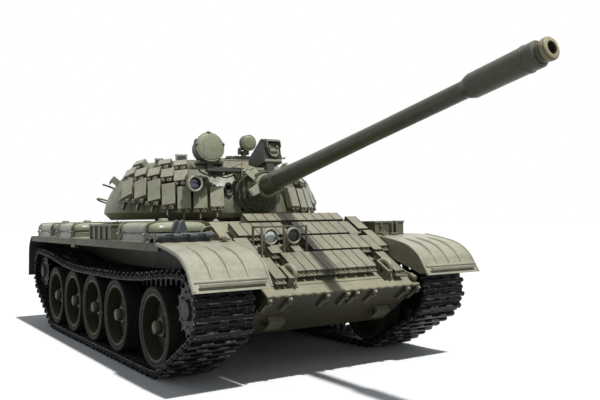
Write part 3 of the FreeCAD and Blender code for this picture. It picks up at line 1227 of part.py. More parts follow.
def gun_mantlet():
    """Drum with trunnion pins, a breech behind it and a neck in front."""
    pins = cylinder("trunnion_pins", "sizes.trunnion_radius", 42.0, (-21.0, 0, 0), (1, 0, 0))
    breech = box("breech", (14.0, 28.0, 12.0), (-7.0, 6.0, -6.0))
    neck = cylinder("mantlet_neck", "sizes.neck_radius", s.barrel_root - 11.0, (0, -9.5, 0), (0, -1, 0))
    tube = cylinder("mantlet_bore", 6.05, 60.0, (0, 12.05, 0), (0, -1, 0))
    solid = fuse("mantlet_solid", [drum_room("mantlet_drum"), pins, breech, neck])
    return gun_node("gun_mantlet", cut("gun_mantlet", solid, [tube]))


# (size, corner) of the two stands that leave the neck through the canvas
range_stand = ((6.0, 5.0, 10.0), (3.0, -22.0, 9.0))
light_arm = ((4.0, 4.0, 9.0), (-9.0, -15.0, 6.0))


def rangefinder():
    """Wedge-sided box over the gun root with a hooded round window, on a stand from the mantlet neck."""
    side_loop = [(-22.0, 17.5), (-22.0, 35.8), (-20.0, 35.8), (0.0, 26.5), (1.5, 22.0), (-8.0, 17.5)]
    case = padded("range_case", "YZ_Plane", [side_loop], 15.4, 0.9)
    hood = cylinder("range_hood", 5.2, 4.0, (9.6, -20.0, 26.5), (0, -1, 0))
    window = cylinder("range_window", 4.4, 2.4, (9.6, -22.2, 26.5), (0, -1, 0))
    knob = cylinder("range_knob", 1.1, 4.0, (16.0, -16.0, 24.0), (1, 0, 0))
    solid = fuse("range_solid", [case, hood, knob, box("range_stand", *range_stand)])
    return gun_node("rangefinder", cut("rangefinder", solid, [window, neck_room("range_neck_room")]))


def main_searchlight():
    """Big drum lamp with a cover disc and rim lugs, carried on a bar from the mantlet neck's right side."""
    r, depth = s.search_light_radius, s.search_light_depth
    profile = [(0, 0), (r - 4.0, 0), (r - 1.0, 4.0), (r - 0.6, depth - 1.5), (r, depth - 1.5), (r, depth),
               (r - 1.2, depth + 0.8), (0, depth + 0.8)]
    x, y, z = -39.5, -3.0, 29.0
    drum = place(spun("big_drum", "XZ_Plane", profile, "V_Axis"), (x, y, z), Rotation(Vector(1, 0, 0), 90))
    lug_ring = r - 0.8
    lugs = []
    for i, angle in enumerate((0.3, 1.5, 2.7, 4.0, 5.4)):
        at = (x + lug_ring * math.cos(angle), y - depth + 1.5, z + lug_ring * math.sin(angle))
        lugs.append(block(f"big_lug_{i}", (2.4, 3.2, 2.0), at, Rotation(Vector(0, -1, 0), math.degrees(angle) - 90)))
    bar_top = z - r - 0.9
    bar_z = light_arm[1][2] + light_arm[0][2] - 3.0
    plate = box("light_plate", (20.0, 10.0, 2.0), (x - 10.0, y - 13.0, bar_top - 0.5))
    bar = box("light_bar", (-x - 5.0, 4.0, 3.0), (x, y - 12.0, bar_z))
    post = box("light_post", (5.0, 4.0, bar_top - bar_z), (x - 2.5, y - 12.0, bar_z))
    solid = fuse("light_solid", [drum, plate, bar, post, box("light_arm", *light_arm)] + lugs)
    room = [neck_room("light_neck_room"), drum_room("light_drum_room")]
    return gun_node("main_searchlight", cut("main_searchlight", solid, room))


def mantlet_cover():
    """Thin canvas hood from the casting's front to the gun's neck, drawn at the rest elevation."""
    # (distance ahead of the trunnion, half width, lowest, highest)
    sections = ((9.5, 17.6, 101.0, 131.6), (16.5, 14.5, 105.0, 132.0), (21.0, 11.2, 108.6, 131.9))

    def hood(name, grow):
        rings = []
        for i, (ahead, half, low, high) in enumerate(sections):
            loop = doc.addObject("Part::Ellipse", f"{name}_ring_{i}")
            loop.MajorRadius = max(half, (high - low) / 2) + grow
            loop.MinorRadius = min(half, (high - low) / 2) + grow
            upright = Rotation(Vector(1, 0, 0), Vector(0, 0, 1), Vector(0, -1, 0), "ZXY")
            turn = upright if half >= (high - low) / 2 else upright * Rotation(Vector(0, 0, 1), 90)
            loop.Placement = Placement(Vector(0, -s.trunnion_ahead - ahead, (low + high) / 2), turn)
            rings.append(loop)
        loft = doc.addObject("Part::Loft", name)
        loft.Sections = rings
        loft.Solid = True
        return loft
    canvas = 0.8
    pose = Placement(Vector(0, -s.trunnion_ahead, s.trunnion_height), Rotation(Vector(1, 0, 0), -s.gun_elevation))
    room = []
    for i, (size, corner) in enumerate((range_stand, light_arm)):
        slit = box(f"cover_slit_{i}", [v + 2 * s.soft_gap for v in size])
        slit.Placement = pose * Placement(Vector(*[v - s.soft_gap for v in corner]), Rotation())
        room.append(slit)
    tools = [hood("cover_inner", -canvas), outer_dome("turret_outer_for_cover")] + room
    return turret_node("mantlet_cover", cut("mantlet_cover", hood("cover_outer", 0.0), tools))


lower_hull()
upper_hull()
hull_screws()
fenders()
front_mudguards()
rear_mudguards()
glacis_armour_blocks()
tow_fittings()
headlights()
headlight_lenses()
headlight_guard()
driver_periscopes()
fuel_tanks()
stowage_boxes()
engine_deck_fittings()
swing_arms()
gearbox_housings()
link = track_link()
doc.recompute()
tracks(link)
spare_links(link)
for side, word in ((-1, "right"), (1, "left")):
    for number, y in enumerate(wheel_ys, start=1):
        road_wheel(word, number, side, y)
    toothed_wheel(f"drive_sprocket_{word}", True, side, s.sprocket_behind, s.sprocket_height)
    toothed_wheel(f"idler_wheel_{word}", False, side, -s.idler_ahead, s.idler_height)
electric_motors(drive_gears())
traverse_pinion()
battery_and_board()
driver_hatch()
turret_shell()
turret_armour_blocks()
turret_ring_gear()
loader_hatch()
commander_cupola()
commander_hatch()
cupola_searchlight()
turret_lamp()
elevation_servo()
gun_barrel()
gun_mantlet()
rangefinder()
main_searchlight()
mantlet_cover()

doc.recompute()
for thing in doc.Objects:
    if "Invalid" in thing.State or "Error" in thing.State:
        raise RuntimeError(f"{thing.Label} did not compute: {thing.State}")
for label, thing in nodes:
    shape = thing.Shape
    if shape.isNull() or not shape.isValid():
        raise RuntimeError(f"{label} has no valid shape")
    shape.exportStep(f"parts/{label}.step")
print(len(nodes), "sub-parts written")
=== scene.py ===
import math

import bmesh
import bpy
import numpy as np
from mathutils import Matrix, Vector


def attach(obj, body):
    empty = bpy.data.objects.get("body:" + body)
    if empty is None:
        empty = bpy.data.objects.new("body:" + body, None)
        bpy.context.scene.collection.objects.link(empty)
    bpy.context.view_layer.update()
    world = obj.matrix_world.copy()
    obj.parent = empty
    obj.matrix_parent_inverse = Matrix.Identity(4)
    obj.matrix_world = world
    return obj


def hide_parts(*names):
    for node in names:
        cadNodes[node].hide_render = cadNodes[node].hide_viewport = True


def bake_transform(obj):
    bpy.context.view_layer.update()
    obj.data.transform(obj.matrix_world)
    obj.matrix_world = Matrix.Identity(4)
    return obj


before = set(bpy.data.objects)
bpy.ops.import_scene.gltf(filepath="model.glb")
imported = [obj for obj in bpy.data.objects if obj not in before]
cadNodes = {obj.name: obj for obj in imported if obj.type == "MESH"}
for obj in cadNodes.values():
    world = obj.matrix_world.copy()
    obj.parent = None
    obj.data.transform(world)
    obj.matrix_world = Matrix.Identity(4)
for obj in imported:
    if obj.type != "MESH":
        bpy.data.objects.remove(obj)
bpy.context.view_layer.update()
print("frame loaded with", len(cadNodes), "nodes")


camera = {
    "place": (-0.254686, -0.456519, 0.096649),
    "azimuth": -33.21,
    "elevation": -1.5,
    "roll": -0.96,
    "lens": 41.352,
}
light = {
    "towards": (0.09, -0.45, 1.0),  # from the object to the lamp
    "strength": 3.7,
    "softness": 2.2,  # degrees
    "sky": 0.24,
    "skyColour": (0.86, 0.93, 1.0, 1),
}


def makeCamera():
    # the back axis comes from azimuth and elevation, then right and up turn by the roll
    azimuth, elevation, roll = (math.radians(camera[key]) for key in ("azimuth", "elevation", "roll"))
    back = Vector((
        math.sin(azimuth) * math.cos(elevation),
        -math.cos(azimuth) * math.cos(elevation),
        math.sin(elevation),
    ))
    right = (-back).cross(Vector((0, 0, 1))).normalized()
    up = right.cross(-back)
    turnedRight = right * math.cos(roll) + up * math.sin(roll)
    turnedUp = up * math.cos(roll) - right * math.sin(roll)
    data = bpy.data.cameras.new("camera")
    data.lens = camera["lens"]
    data.sensor_width = 36
    data.clip_start = 0.01
    thing = bpy.data.objects.new("camera", data)
    place = Matrix((turnedRight, turnedUp, back)).transposed().to_4x4()
    place.translation = Vector(camera["place"])
    thing.matrix_world = place
    bpy.context.scene.collection.objects.link(thing)
    bpy.context.scene.camera = thing


def makeLight():
    # one soft distant lamp, and a sky that only shows as white behind the object
    scene = bpy.context.scene
    data = bpy.data.lights.new("keyLamp", "SUN")
    data.energy = light["strength"]
    data.angle = math.radians(light["softness"])
    lamp = bpy.data.objects.new("keyLamp", data)
    lamp.rotation_euler = Vector(light["towards"]).to_track_quat("Z", "Y").to_euler()
    scene.collection.objects.link(lamp)
    world = bpy.data.worlds.new("studio")
    scene.world = world
    world.use_nodes = True
    tree = world.node_tree
    tree.nodes.clear()
    seen = seenDirectly(tree)
    soft = addNode(tree, "ShaderNodeBackground", {},
                   {"Color": light["skyColour"], "Strength": light["sky"]})
    white = addNode(tree, "ShaderNodeBackground", {}, {"Color": (1, 1, 1, 1), "Strength": 1.0})
    either = addNode(tree, "ShaderNodeMixShader", {}, {0: seen, 1: soft.outputs[0], 2: white.outputs[0]})
    addNode(tree, "ShaderNodeOutputWorld", {}, {"Surface": either.outputs[0]})
    scene.view_settings.view_transform = "Standard"


def seenDirectly(tree):
    # 1 on rays from the camera, mirrors and glass, 0 on the rays that light things
    path = tree.nodes.new("ShaderNodeLightPath")
    mirrored = addNode(tree, "ShaderNodeMath", {"operation": "MAXIMUM"}, {
        0: path.outputs["Is Camera Ray"], 1: path.outputs["Is Glossy Ray"]})
    through = addNode(tree, "ShaderNodeMath", {"operation": "MAXIMUM"}, {
        0: mirrored.outputs[0], 1: path.outputs["Is Transmission Ray"]})
    return through.outputs[0]


def makeFloor():
    # a pale disc of rings, so wide that its edge is out of sight
    rings = np.array([0.0, 0.4, 0.9, 2.0, 5.0, 12.0])
    turns = np.linspace(0, 2 * math.pi, 64, endpoint=False)
    grid = np.stack([
        rings[:, None] * np.cos(turns),
        rings[:, None] * np.sin(turns),
        np.zeros((len(rings), len(turns))),
    ], -1)
    verts, faces = gridShape(grid[::-1], wrapCols=True)
    mesh = bpy.data.meshes.new("floor")
    mesh.from_pydata(verts.tolist(), [], faces)
    floor = bpy.data.objects.new("floor", mesh)
    bpy.context.scene.collection.objects.link(floor)
    surface = newMaterial("floorWhite")
    tree = surface.node_tree
    shader = tree.nodes["Principled BSDF"]
    # the floor is dark to the rays that light the object, so that less light is thrown up
    pale = mixColour(tree, seenDirectly(tree), (0.13, 0.13, 0.12, 1), (0.86, 0.86, 0.86, 1))
    tree.links.new(pale, shader.inputs["Base Color"])
    shader.inputs["Roughness"].default_value = 0.9
    mesh.materials.append(surface)


def gridShape(points, wrapRows=False, wrapCols=False):
    # quads between neighbouring rows and columns of a grid of points
    rows, cols = points.shape[:2]
    row = np.arange(rows if wrapRows else rows - 1)
    col = np.arange(cols if wrapCols else cols - 1)
    row, col = np.meshgrid(row, col, indexing="ij")
    nextRow, nextCol = (row + 1) % rows, (col + 1) % cols
    corners = [row * cols + col, nextRow * cols + col, nextRow * cols + nextCol, row * cols + nextCol]
    return points.reshape(-1, 3), np.stack(corners, -1).reshape(-1, 4).tolist()


def unit(vector):
    vector = np.asarray(vector, float)
    return vector / np.linalg.norm(vector, axis=-1, keepdims=True)


def turned(profile, origin=(0, 0, 0), axis=(0, 0, 1), sides=32):
    # each (along, radius) of the profile carried round the axis
    axis = unit(axis)
    across = unit(np.cross(axis, (0.3, 0.5, 0.81) if abs(axis[2]) < 0.9 else (1.0, 0.2, 0.0)))
    other = np.cross(axis, across)
    profile = np.asarray(profile, float)
    angle = np.linspace(0, 2 * math.pi, sides, endpoint=False)
    ring = np.cos(angle)[:, None] * across + np.sin(angle)[:, None] * other
    grid = np.asarray(origin, float) + profile[:, :1, None] * axis + profile[:, 1:, None] * ring[None]
    return gridShape(grid, wrapCols=True)


def pipe(path, radius, sides=10, guide=(0.12, 0.31, 0.94)):
    # a circle square to the path at each of its points, closed at both ends by a point
    path = np.asarray(path, float)
    along = unit(np.gradient(path, axis=0))
    side = unit(np.cross(along, guide))
    other = np.cross(along, side)
    size = np.broadcast_to(np.asarray(radius, float), (len(path),))
    angle = np.linspace(0, 2 * math.pi, sides, endpoint=False)
    ring = np.cos(angle)[None, :, None] * side[:, None] + np.sin(angle)[None, :, None] * other[:, None]
    grid = path[:, None] + size[:, None, None] * ring
    first, last = np.repeat(path[:1, None], sides, 1), np.repeat(path[-1:, None], sides, 1)
    return gridShape(np.concatenate([first, grid, last]), wrapCols=True)


def smoothPath(points, steps=24):
    # points spaced along a Catmull-Rom curve through the given ones
    points = np.asarray(points, float)
    padded = np.vstack([2 * points[0] - points[1], points, 2 * points[-1] - points[-2]])
    where = np.linspace(0, len(points) - 1 - 1e-9, steps)
    start = where.astype(int)
    t = (where - start)[:, None]
    a, b, c, d = (padded[start + k] for k in range(4))
    square, cube = 2 * a - 5 * b + 4 * c - d, 3 * b - a - 3 * c + d
    return 0.5 * (2 * b + (c - a) * t + square * t ** 2 + cube * t ** 3)


def plate(outline, thick, origin=(0, 0, 0), xAxis=(1, 0, 0), yAxis=(0, 1, 0)):
    # a flat outline given a thickness along the normal of its plane
    outline = np.asarray(outline, float)
    xAxis, yAxis = unit(xAxis), np.asarray(yAxis, float)
    yAxis = unit(yAxis - xAxis * (yAxis @ xAxis))
    flat = np.asarray(origin, float) + outline[:, :1] * xAxis + outline[:, 1:] * yAxis
    count = len(outline)
    points = np.vstack([flat, flat + thick * np.cross(xAxis, yAxis)])
    ring = np.arange(count)
    walls = np.stack([ring, (ring + 1) % count, (ring + 1) % count + count, ring + count], -1).tolist()
    return points, walls + [ring[::-1].tolist(), (ring + count).tolist()]


def block(centre, size, xAxis=(1, 0, 0), yAxis=(0, 1, 0)):
    # a rectangle of the given size, as thick as its third measure, about its centre
    xAxis, yAxis = unit(xAxis), np.asarray(yAxis, float)
    yAxis = unit(yAxis - xAxis * (yAxis @ xAxis))
    half = np.asarray(size, float) / 2
    outline = [(-half[0], -half[1]), (half[0], -half[1]), (half[0], half[1]), (-half[0], half[1])]
    return plate(outline, size[2], np.asarray(centre, float) - half[2] * np.cross(xAxis, yAxis), xAxis,
                 yAxis)


def strap(path, width, thick, across):
    # a flat band along a path: a thin rectangle, its width along the given direction
    path = np.asarray(path, float)
    along = unit(np.gradient(path, axis=0))
    across = unit(across)
    lift = unit(np.cross(along, across)) * thick / 2
    wide = across * width / 2
    grid = np.stack([path - wide - lift, path + wide - lift, path + wide + lift, path - wide + lift], 1)
    ends = [[0, 1, 2, 3], [4 * len(path) - k for k in (1, 2, 3, 4)]]
    points, faces = gridShape(grid, wrapCols=True)
    return points, faces + ends


def bolt(place, axis, radius, tall, sides=6):
    # a low hexagon head with a rounded top
    return turned([(0, 0), (0, radius), (0.75 * tall, radius), (tall, 0.7 * radius), (tall, 0)], place,
                  axis, sides)


def joined(shapes):
    points, faces, count = [], [], 0
    for some, theirFaces in shapes:
        points.append(some)
        faces += [[corner + count for corner in face] for face in theirFaces]
        count += len(some)
    return np.vstack(points), faces


def moved(shape, matrix):
    points, faces = shape
    return points @ np.array(matrix)[:3, :3].T + np.array(matrix)[:3, 3], faces


def addPiece(name, shapes, material, body, bevel=0.0, sharp=40):
    # joins the shapes, closes their seams, turns the faces outwards and rounds the edges
    points, faces = joined(shapes)
    mesh = bpy.data.meshes.new(name)
    mesh.from_pydata((points * 0.001).tolist(), [], faces)
    work = bmesh.new()
    work.from_mesh(mesh)
    bmesh.ops.remove_doubles(work, verts=work.verts, dist=1e-6)
    bmesh.ops.recalc_face_normals(work, faces=work.faces)
    for face in work.faces:
        face.smooth = True
    for edge in work.edges:
        edge.smooth = edge.is_manifold and edge.calc_face_angle(0) < math.radians(sharp)
    work.to_mesh(mesh)
    work.free()
    piece = bpy.data.objects.new(name, mesh)
    bpy.context.scene.collection.objects.link(piece)
    mesh.materials.append(material)
    if bevel:
        rounding = piece.modifiers.new("rounded", "BEVEL")
        rounding.width = bevel * 0.001
        rounding.segments = 2
        rounding.limit_method = "ANGLE"
        rounding.angle_limit = math.radians(sharp)
        rounding.harden_normals = False
    if body:
        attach(piece, body)
    return piece


def islands(nodeName):
    # the separate solids of a CAD node: vertices that share a place are one, and faces join them
    mesh = cadNodes[nodeName].data
    points = np.empty(len(mesh.vertices) * 3)
    mesh.vertices.foreach_get("co", points)
    points = points.reshape(-1, 3) * 1000
    corners = np.empty(len(mesh.polygons) * 3, int)
    mesh.loops.foreach_get("vertex_index", corners)
    faces = corners.reshape(-1, 3)
    places, same = np.unique(np.round(points, 3), axis=0, return_inverse=True)
    faces = same.reshape(-1)[faces]
    label = np.arange(len(places))
    while True:
        lowest = label[faces].min(1)
        fresh = label.copy()
        np.minimum.at(fresh, faces.reshape(-1), np.repeat(lowest, 3))
        fresh = fresh[fresh]
        if (fresh == label).all():
            break
        label = fresh
    return [(places, faces[label[faces[:, 0]] == one]) for one in np.unique(label)]


def addNode(tree, kind, settings, inputs):
    node = tree.nodes.new(kind)
    for key, value in settings.items():
        setattr(node, key, value)
    for key, value in inputs.items():
        if isinstance(value, bpy.types.NodeSocket):
            tree.links.new(value, node.inputs[key])
        else:
            node.inputs[key].default_value = value
    return node


def mathNode(tree, operation, first, second=0.0, clamp=False):
    node = addNode(tree, "ShaderNodeMath", {"operation": operation, "use_clamp": clamp},
                   {0: first, 1: second})
    return node.outputs[0]


def mixColour(tree, amount, first, second, blend="MIX"):
    node = addNode(tree, "ShaderNodeMix", {"data_type": "RGBA", "blend_type": blend},
                   {0: amount, 6: first, 7: second})
    return node.outputs[2]


def mapRange(tree, value, low, high, toLow=0.0, toHigh=1.0):
    node = addNode(tree, "ShaderNodeMapRange", {"clamp": True},
                   {0: value, 1: low, 2: high, 3: toLow, 4: toHigh})
    return node.outputs[0]


def noiseOf(tree, vector, scale, detail=4.0, rough=0.55):
    node = addNode(tree, "ShaderNodeTexNoise", {"noise_dimensions": "3D"}, {
        "Vector": vector, "Scale": scale, "Detail": detail, "Roughness": rough})
    return node.outputs[0]


def newGroup(name, inputs, outputs):
    tree = bpy.data.node_groups.new(name, "ShaderNodeTree")
    for key, (kind, value) in inputs.items():
        socket = tree.interface.new_socket(key, in_out="INPUT", socket_type=kind)
        socket.default_value = value
    for key, kind in outputs.items():
        tree.interface.new_socket(key, in_out="OUTPUT", socket_type=kind)
    return tree, tree.nodes.new("NodeGroupInput"), tree.nodes.new("NodeGroupOutput")


def colour(red, green, blue):
    # a colour written as it is seen, 0 to 255, turned into the linear value a shader takes
    seen = np.array([red, green, blue]) / 255
    linear = np.where(seen <= 0.04045, seen / 12.92, ((seen + 0.055) / 1.055) ** 2.4)
    return (*[float(value) for value in linear], 1.0)


def makeWeatherGroup():
    # paint: fades in wide patches, gathers dust where it faces up, is darkened in corners as painted shade,
    # runs in streaks on upright faces and is rubbed to bare metal along edges
    tree, given, result = newGroup("weathered", {
        "Paint": ("NodeSocketColor", (0.3, 0.3, 0.2, 1)),
        "Faded": ("NodeSocketColor", (0.4, 0.4, 0.3, 1)),
        "Dust": ("NodeSocketColor", (0.5, 0.5, 0.4, 1)),
        "Bare": ("NodeSocketColor", (0.3, 0.3, 0.3, 1)),
        "Dusting": ("NodeSocketFloat", 0.5),
        "Wear": ("NodeSocketFloat", 0.5),
        "GrimeAndCornerShade": ("NodeSocketFloat", 0.5),
        "Grain": ("NodeSocketFloat", 900.0),
        "Edge": ("NodeSocketFloat", 0.0006),
        "Dull": ("NodeSocketFloat", 0.5),
    }, {
        "Color": "NodeSocketColor",
        "Rubbed": "NodeSocketFloat",
        "Roughness": "NodeSocketFloat",
        "Height": "NodeSocketFloat",
        "Normal": "NodeSocketVector",
    })
    where = tree.nodes.new("ShaderNodeTexCoord").outputs["Object"]
    shape = tree.nodes.new("ShaderNodeNewGeometry")
    patches = mapRange(tree, noiseOf(tree, where, 26.0, 6.0, 0.62), 0.38, 0.66)
    speckle = mapRange(tree, noiseOf(tree, where, 420.0, 3.0), 0.3, 0.7, 0.88, 1.1)
    base = mixColour(tree, patches, given.outputs["Paint"], given.outputs["Faded"])
    base = mixColour(tree, 1.0, base, speckle, "MULTIPLY")
    split = addNode(tree, "ShaderNodeSeparateXYZ", {}, {0: shape.outputs["Normal"]})
    upward = mapRange(tree, split.outputs[2], 0.15, 0.95)
    upright = mapRange(tree, mathNode(tree, "ABSOLUTE", split.outputs[2]), 0.2, 0.8, 1.0, 0.0)
    stretched = addNode(tree, "ShaderNodeMapping", {}, {"Vector": where, "Scale": (1.0, 1.0, 0.06)})
    streaks = mapRange(tree, noiseOf(tree, stretched.outputs[0], 260.0, 3.0), 0.52, 0.7)
    streaks = mathNode(tree, "MULTIPLY", mathNode(tree, "MULTIPLY", streaks, upright),
                       given.outputs["GrimeAndCornerShade"])
    base = mixColour(tree, mathNode(tree, "MULTIPLY", streaks, 0.45), base, (0.035, 0.032, 0.022, 1))
    settled = mapRange(tree, noiseOf(tree, where, 70.0, 5.0, 0.65), 0.28, 0.62, 0.35, 1.0)
    settled = mathNode(tree, "MULTIPLY", mathNode(tree, "MULTIPLY", settled, upward),
                       given.outputs["Dusting"])
    base = mixColour(tree, settled, base, given.outputs["Dust"])
    # painted shade: corners and recesses found by ambient occlusion turn near black, by the same amount that
    # sets the dirt streaks
    corner = addNode(tree, "ShaderNodeAmbientOcclusion", {"samples": 4, "only_local": True},
                     {"Distance": 0.006})
    cornerShade = mapRange(tree, corner.outputs["AO"], 0.3, 0.97, 1.0, 0.0)
    base = mixColour(tree, mathNode(tree, "MULTIPLY", cornerShade, given.outputs["GrimeAndCornerShade"]), base,
                     (0.02, 0.02, 0.015, 1))
    rounded = addNode(tree, "ShaderNodeBevel", {"samples": 4}, {"Radius": given.outputs["Edge"]})
    lean = addNode(tree, "ShaderNodeVectorMath", {"operation": "DOT_PRODUCT"}, {
        0: rounded.outputs[0], 1: shape.outputs["Normal"]})
    edge = mapRange(tree, lean.outputs["Value"], 0.985, 0.87)
    chips = mapRange(tree, noiseOf(tree, where, 330.0, 4.0, 0.7), 0.36, 0.62)
    rubbed = mathNode(tree, "MULTIPLY", mathNode(tree, "MULTIPLY", edge, chips), given.outputs["Wear"],
                      True)
    tree.links.new(mixColour(tree, rubbed, base, given.outputs["Bare"]), result.inputs["Color"])
    tree.links.new(rubbed, result.inputs["Rubbed"])
    uneven = mapRange(tree, noiseOf(tree, where, 150.0, 3.0), 0.2, 0.8, -0.1, 0.12)
    rough = mathNode(tree, "ADD", mathNode(tree, "ADD", given.outputs["Dull"], uneven),
                     mathNode(tree, "MULTIPLY", settled, 0.18), True)
    tree.links.new(mixFloat(tree, rubbed, rough, 0.34), result.inputs["Roughness"])
    fine = noiseOf(tree, where, given.outputs["Grain"], 3.0, 0.6)
    wide = noiseOf(tree, where, 120.0, 2.0)
    tree.links.new(mathNode(tree, "ADD", mathNode(tree, "MULTIPLY", fine, 0.35), wide),
                   result.inputs["Height"])
    tree.links.new(rounded.outputs[0], result.inputs["Normal"])
    return tree


def mixFloat(tree, amount, first, second):
    node = addNode(tree, "ShaderNodeMix", {"data_type": "FLOAT"}, {0: amount, 2: first, 3: second})
    return node.outputs[0]


def newMaterial(name):
    material = bpy.data.materials.new(name)
    material.use_nodes = True
    return material


def weathered(name, values):
    # the shared weathering with this finish's own colours, bump and metal
    material = newMaterial(name)
    tree = material.node_tree
    shader = tree.nodes["Principled BSDF"]
    group = addNode(tree, "ShaderNodeGroup", {"node_tree": weatherGroup}, {
        "Paint": colour(*values["paint"]),
        "Faded": colour(*values["faded"]),
        "Dust": colour(*values.get("dust", (176, 172, 148))),
        "Bare": colour(*values.get("bare", (120, 118, 108))),
        "Dusting": values.get("dusting", 0.5),
        "Wear": values.get("wear", 0.5),
        "GrimeAndCornerShade": values.get("grimeAndCornerShade", 0.5),
        "Grain": values.get("grain", 900.0),
        "Edge": values.get("edge", 0.0006),
        "Dull": values.get("dull", 0.46),
    })
    bump = addNode(tree, "ShaderNodeBump", {}, {
        "Strength": values.get("bump", 0.25),
        "Distance": values.get("depth", 0.0006),
        "Height": group.outputs["Height"],
        "Normal": group.outputs["Normal"],
    })
    tree.links.new(group.outputs["Color"], shader.inputs["Base Color"])
    tree.links.new(group.outputs["Roughness"], shader.inputs["Roughness"])
    tree.links.new(bump.outputs[0], shader.inputs["Normal"])
    shader.inputs["Specular IOR Level"].default_value = values.get("specular", 0.4)
    if values.get("metal"):
        tree.links.new(group.outputs["Rubbed"], shader.inputs["Metallic"])
    return material


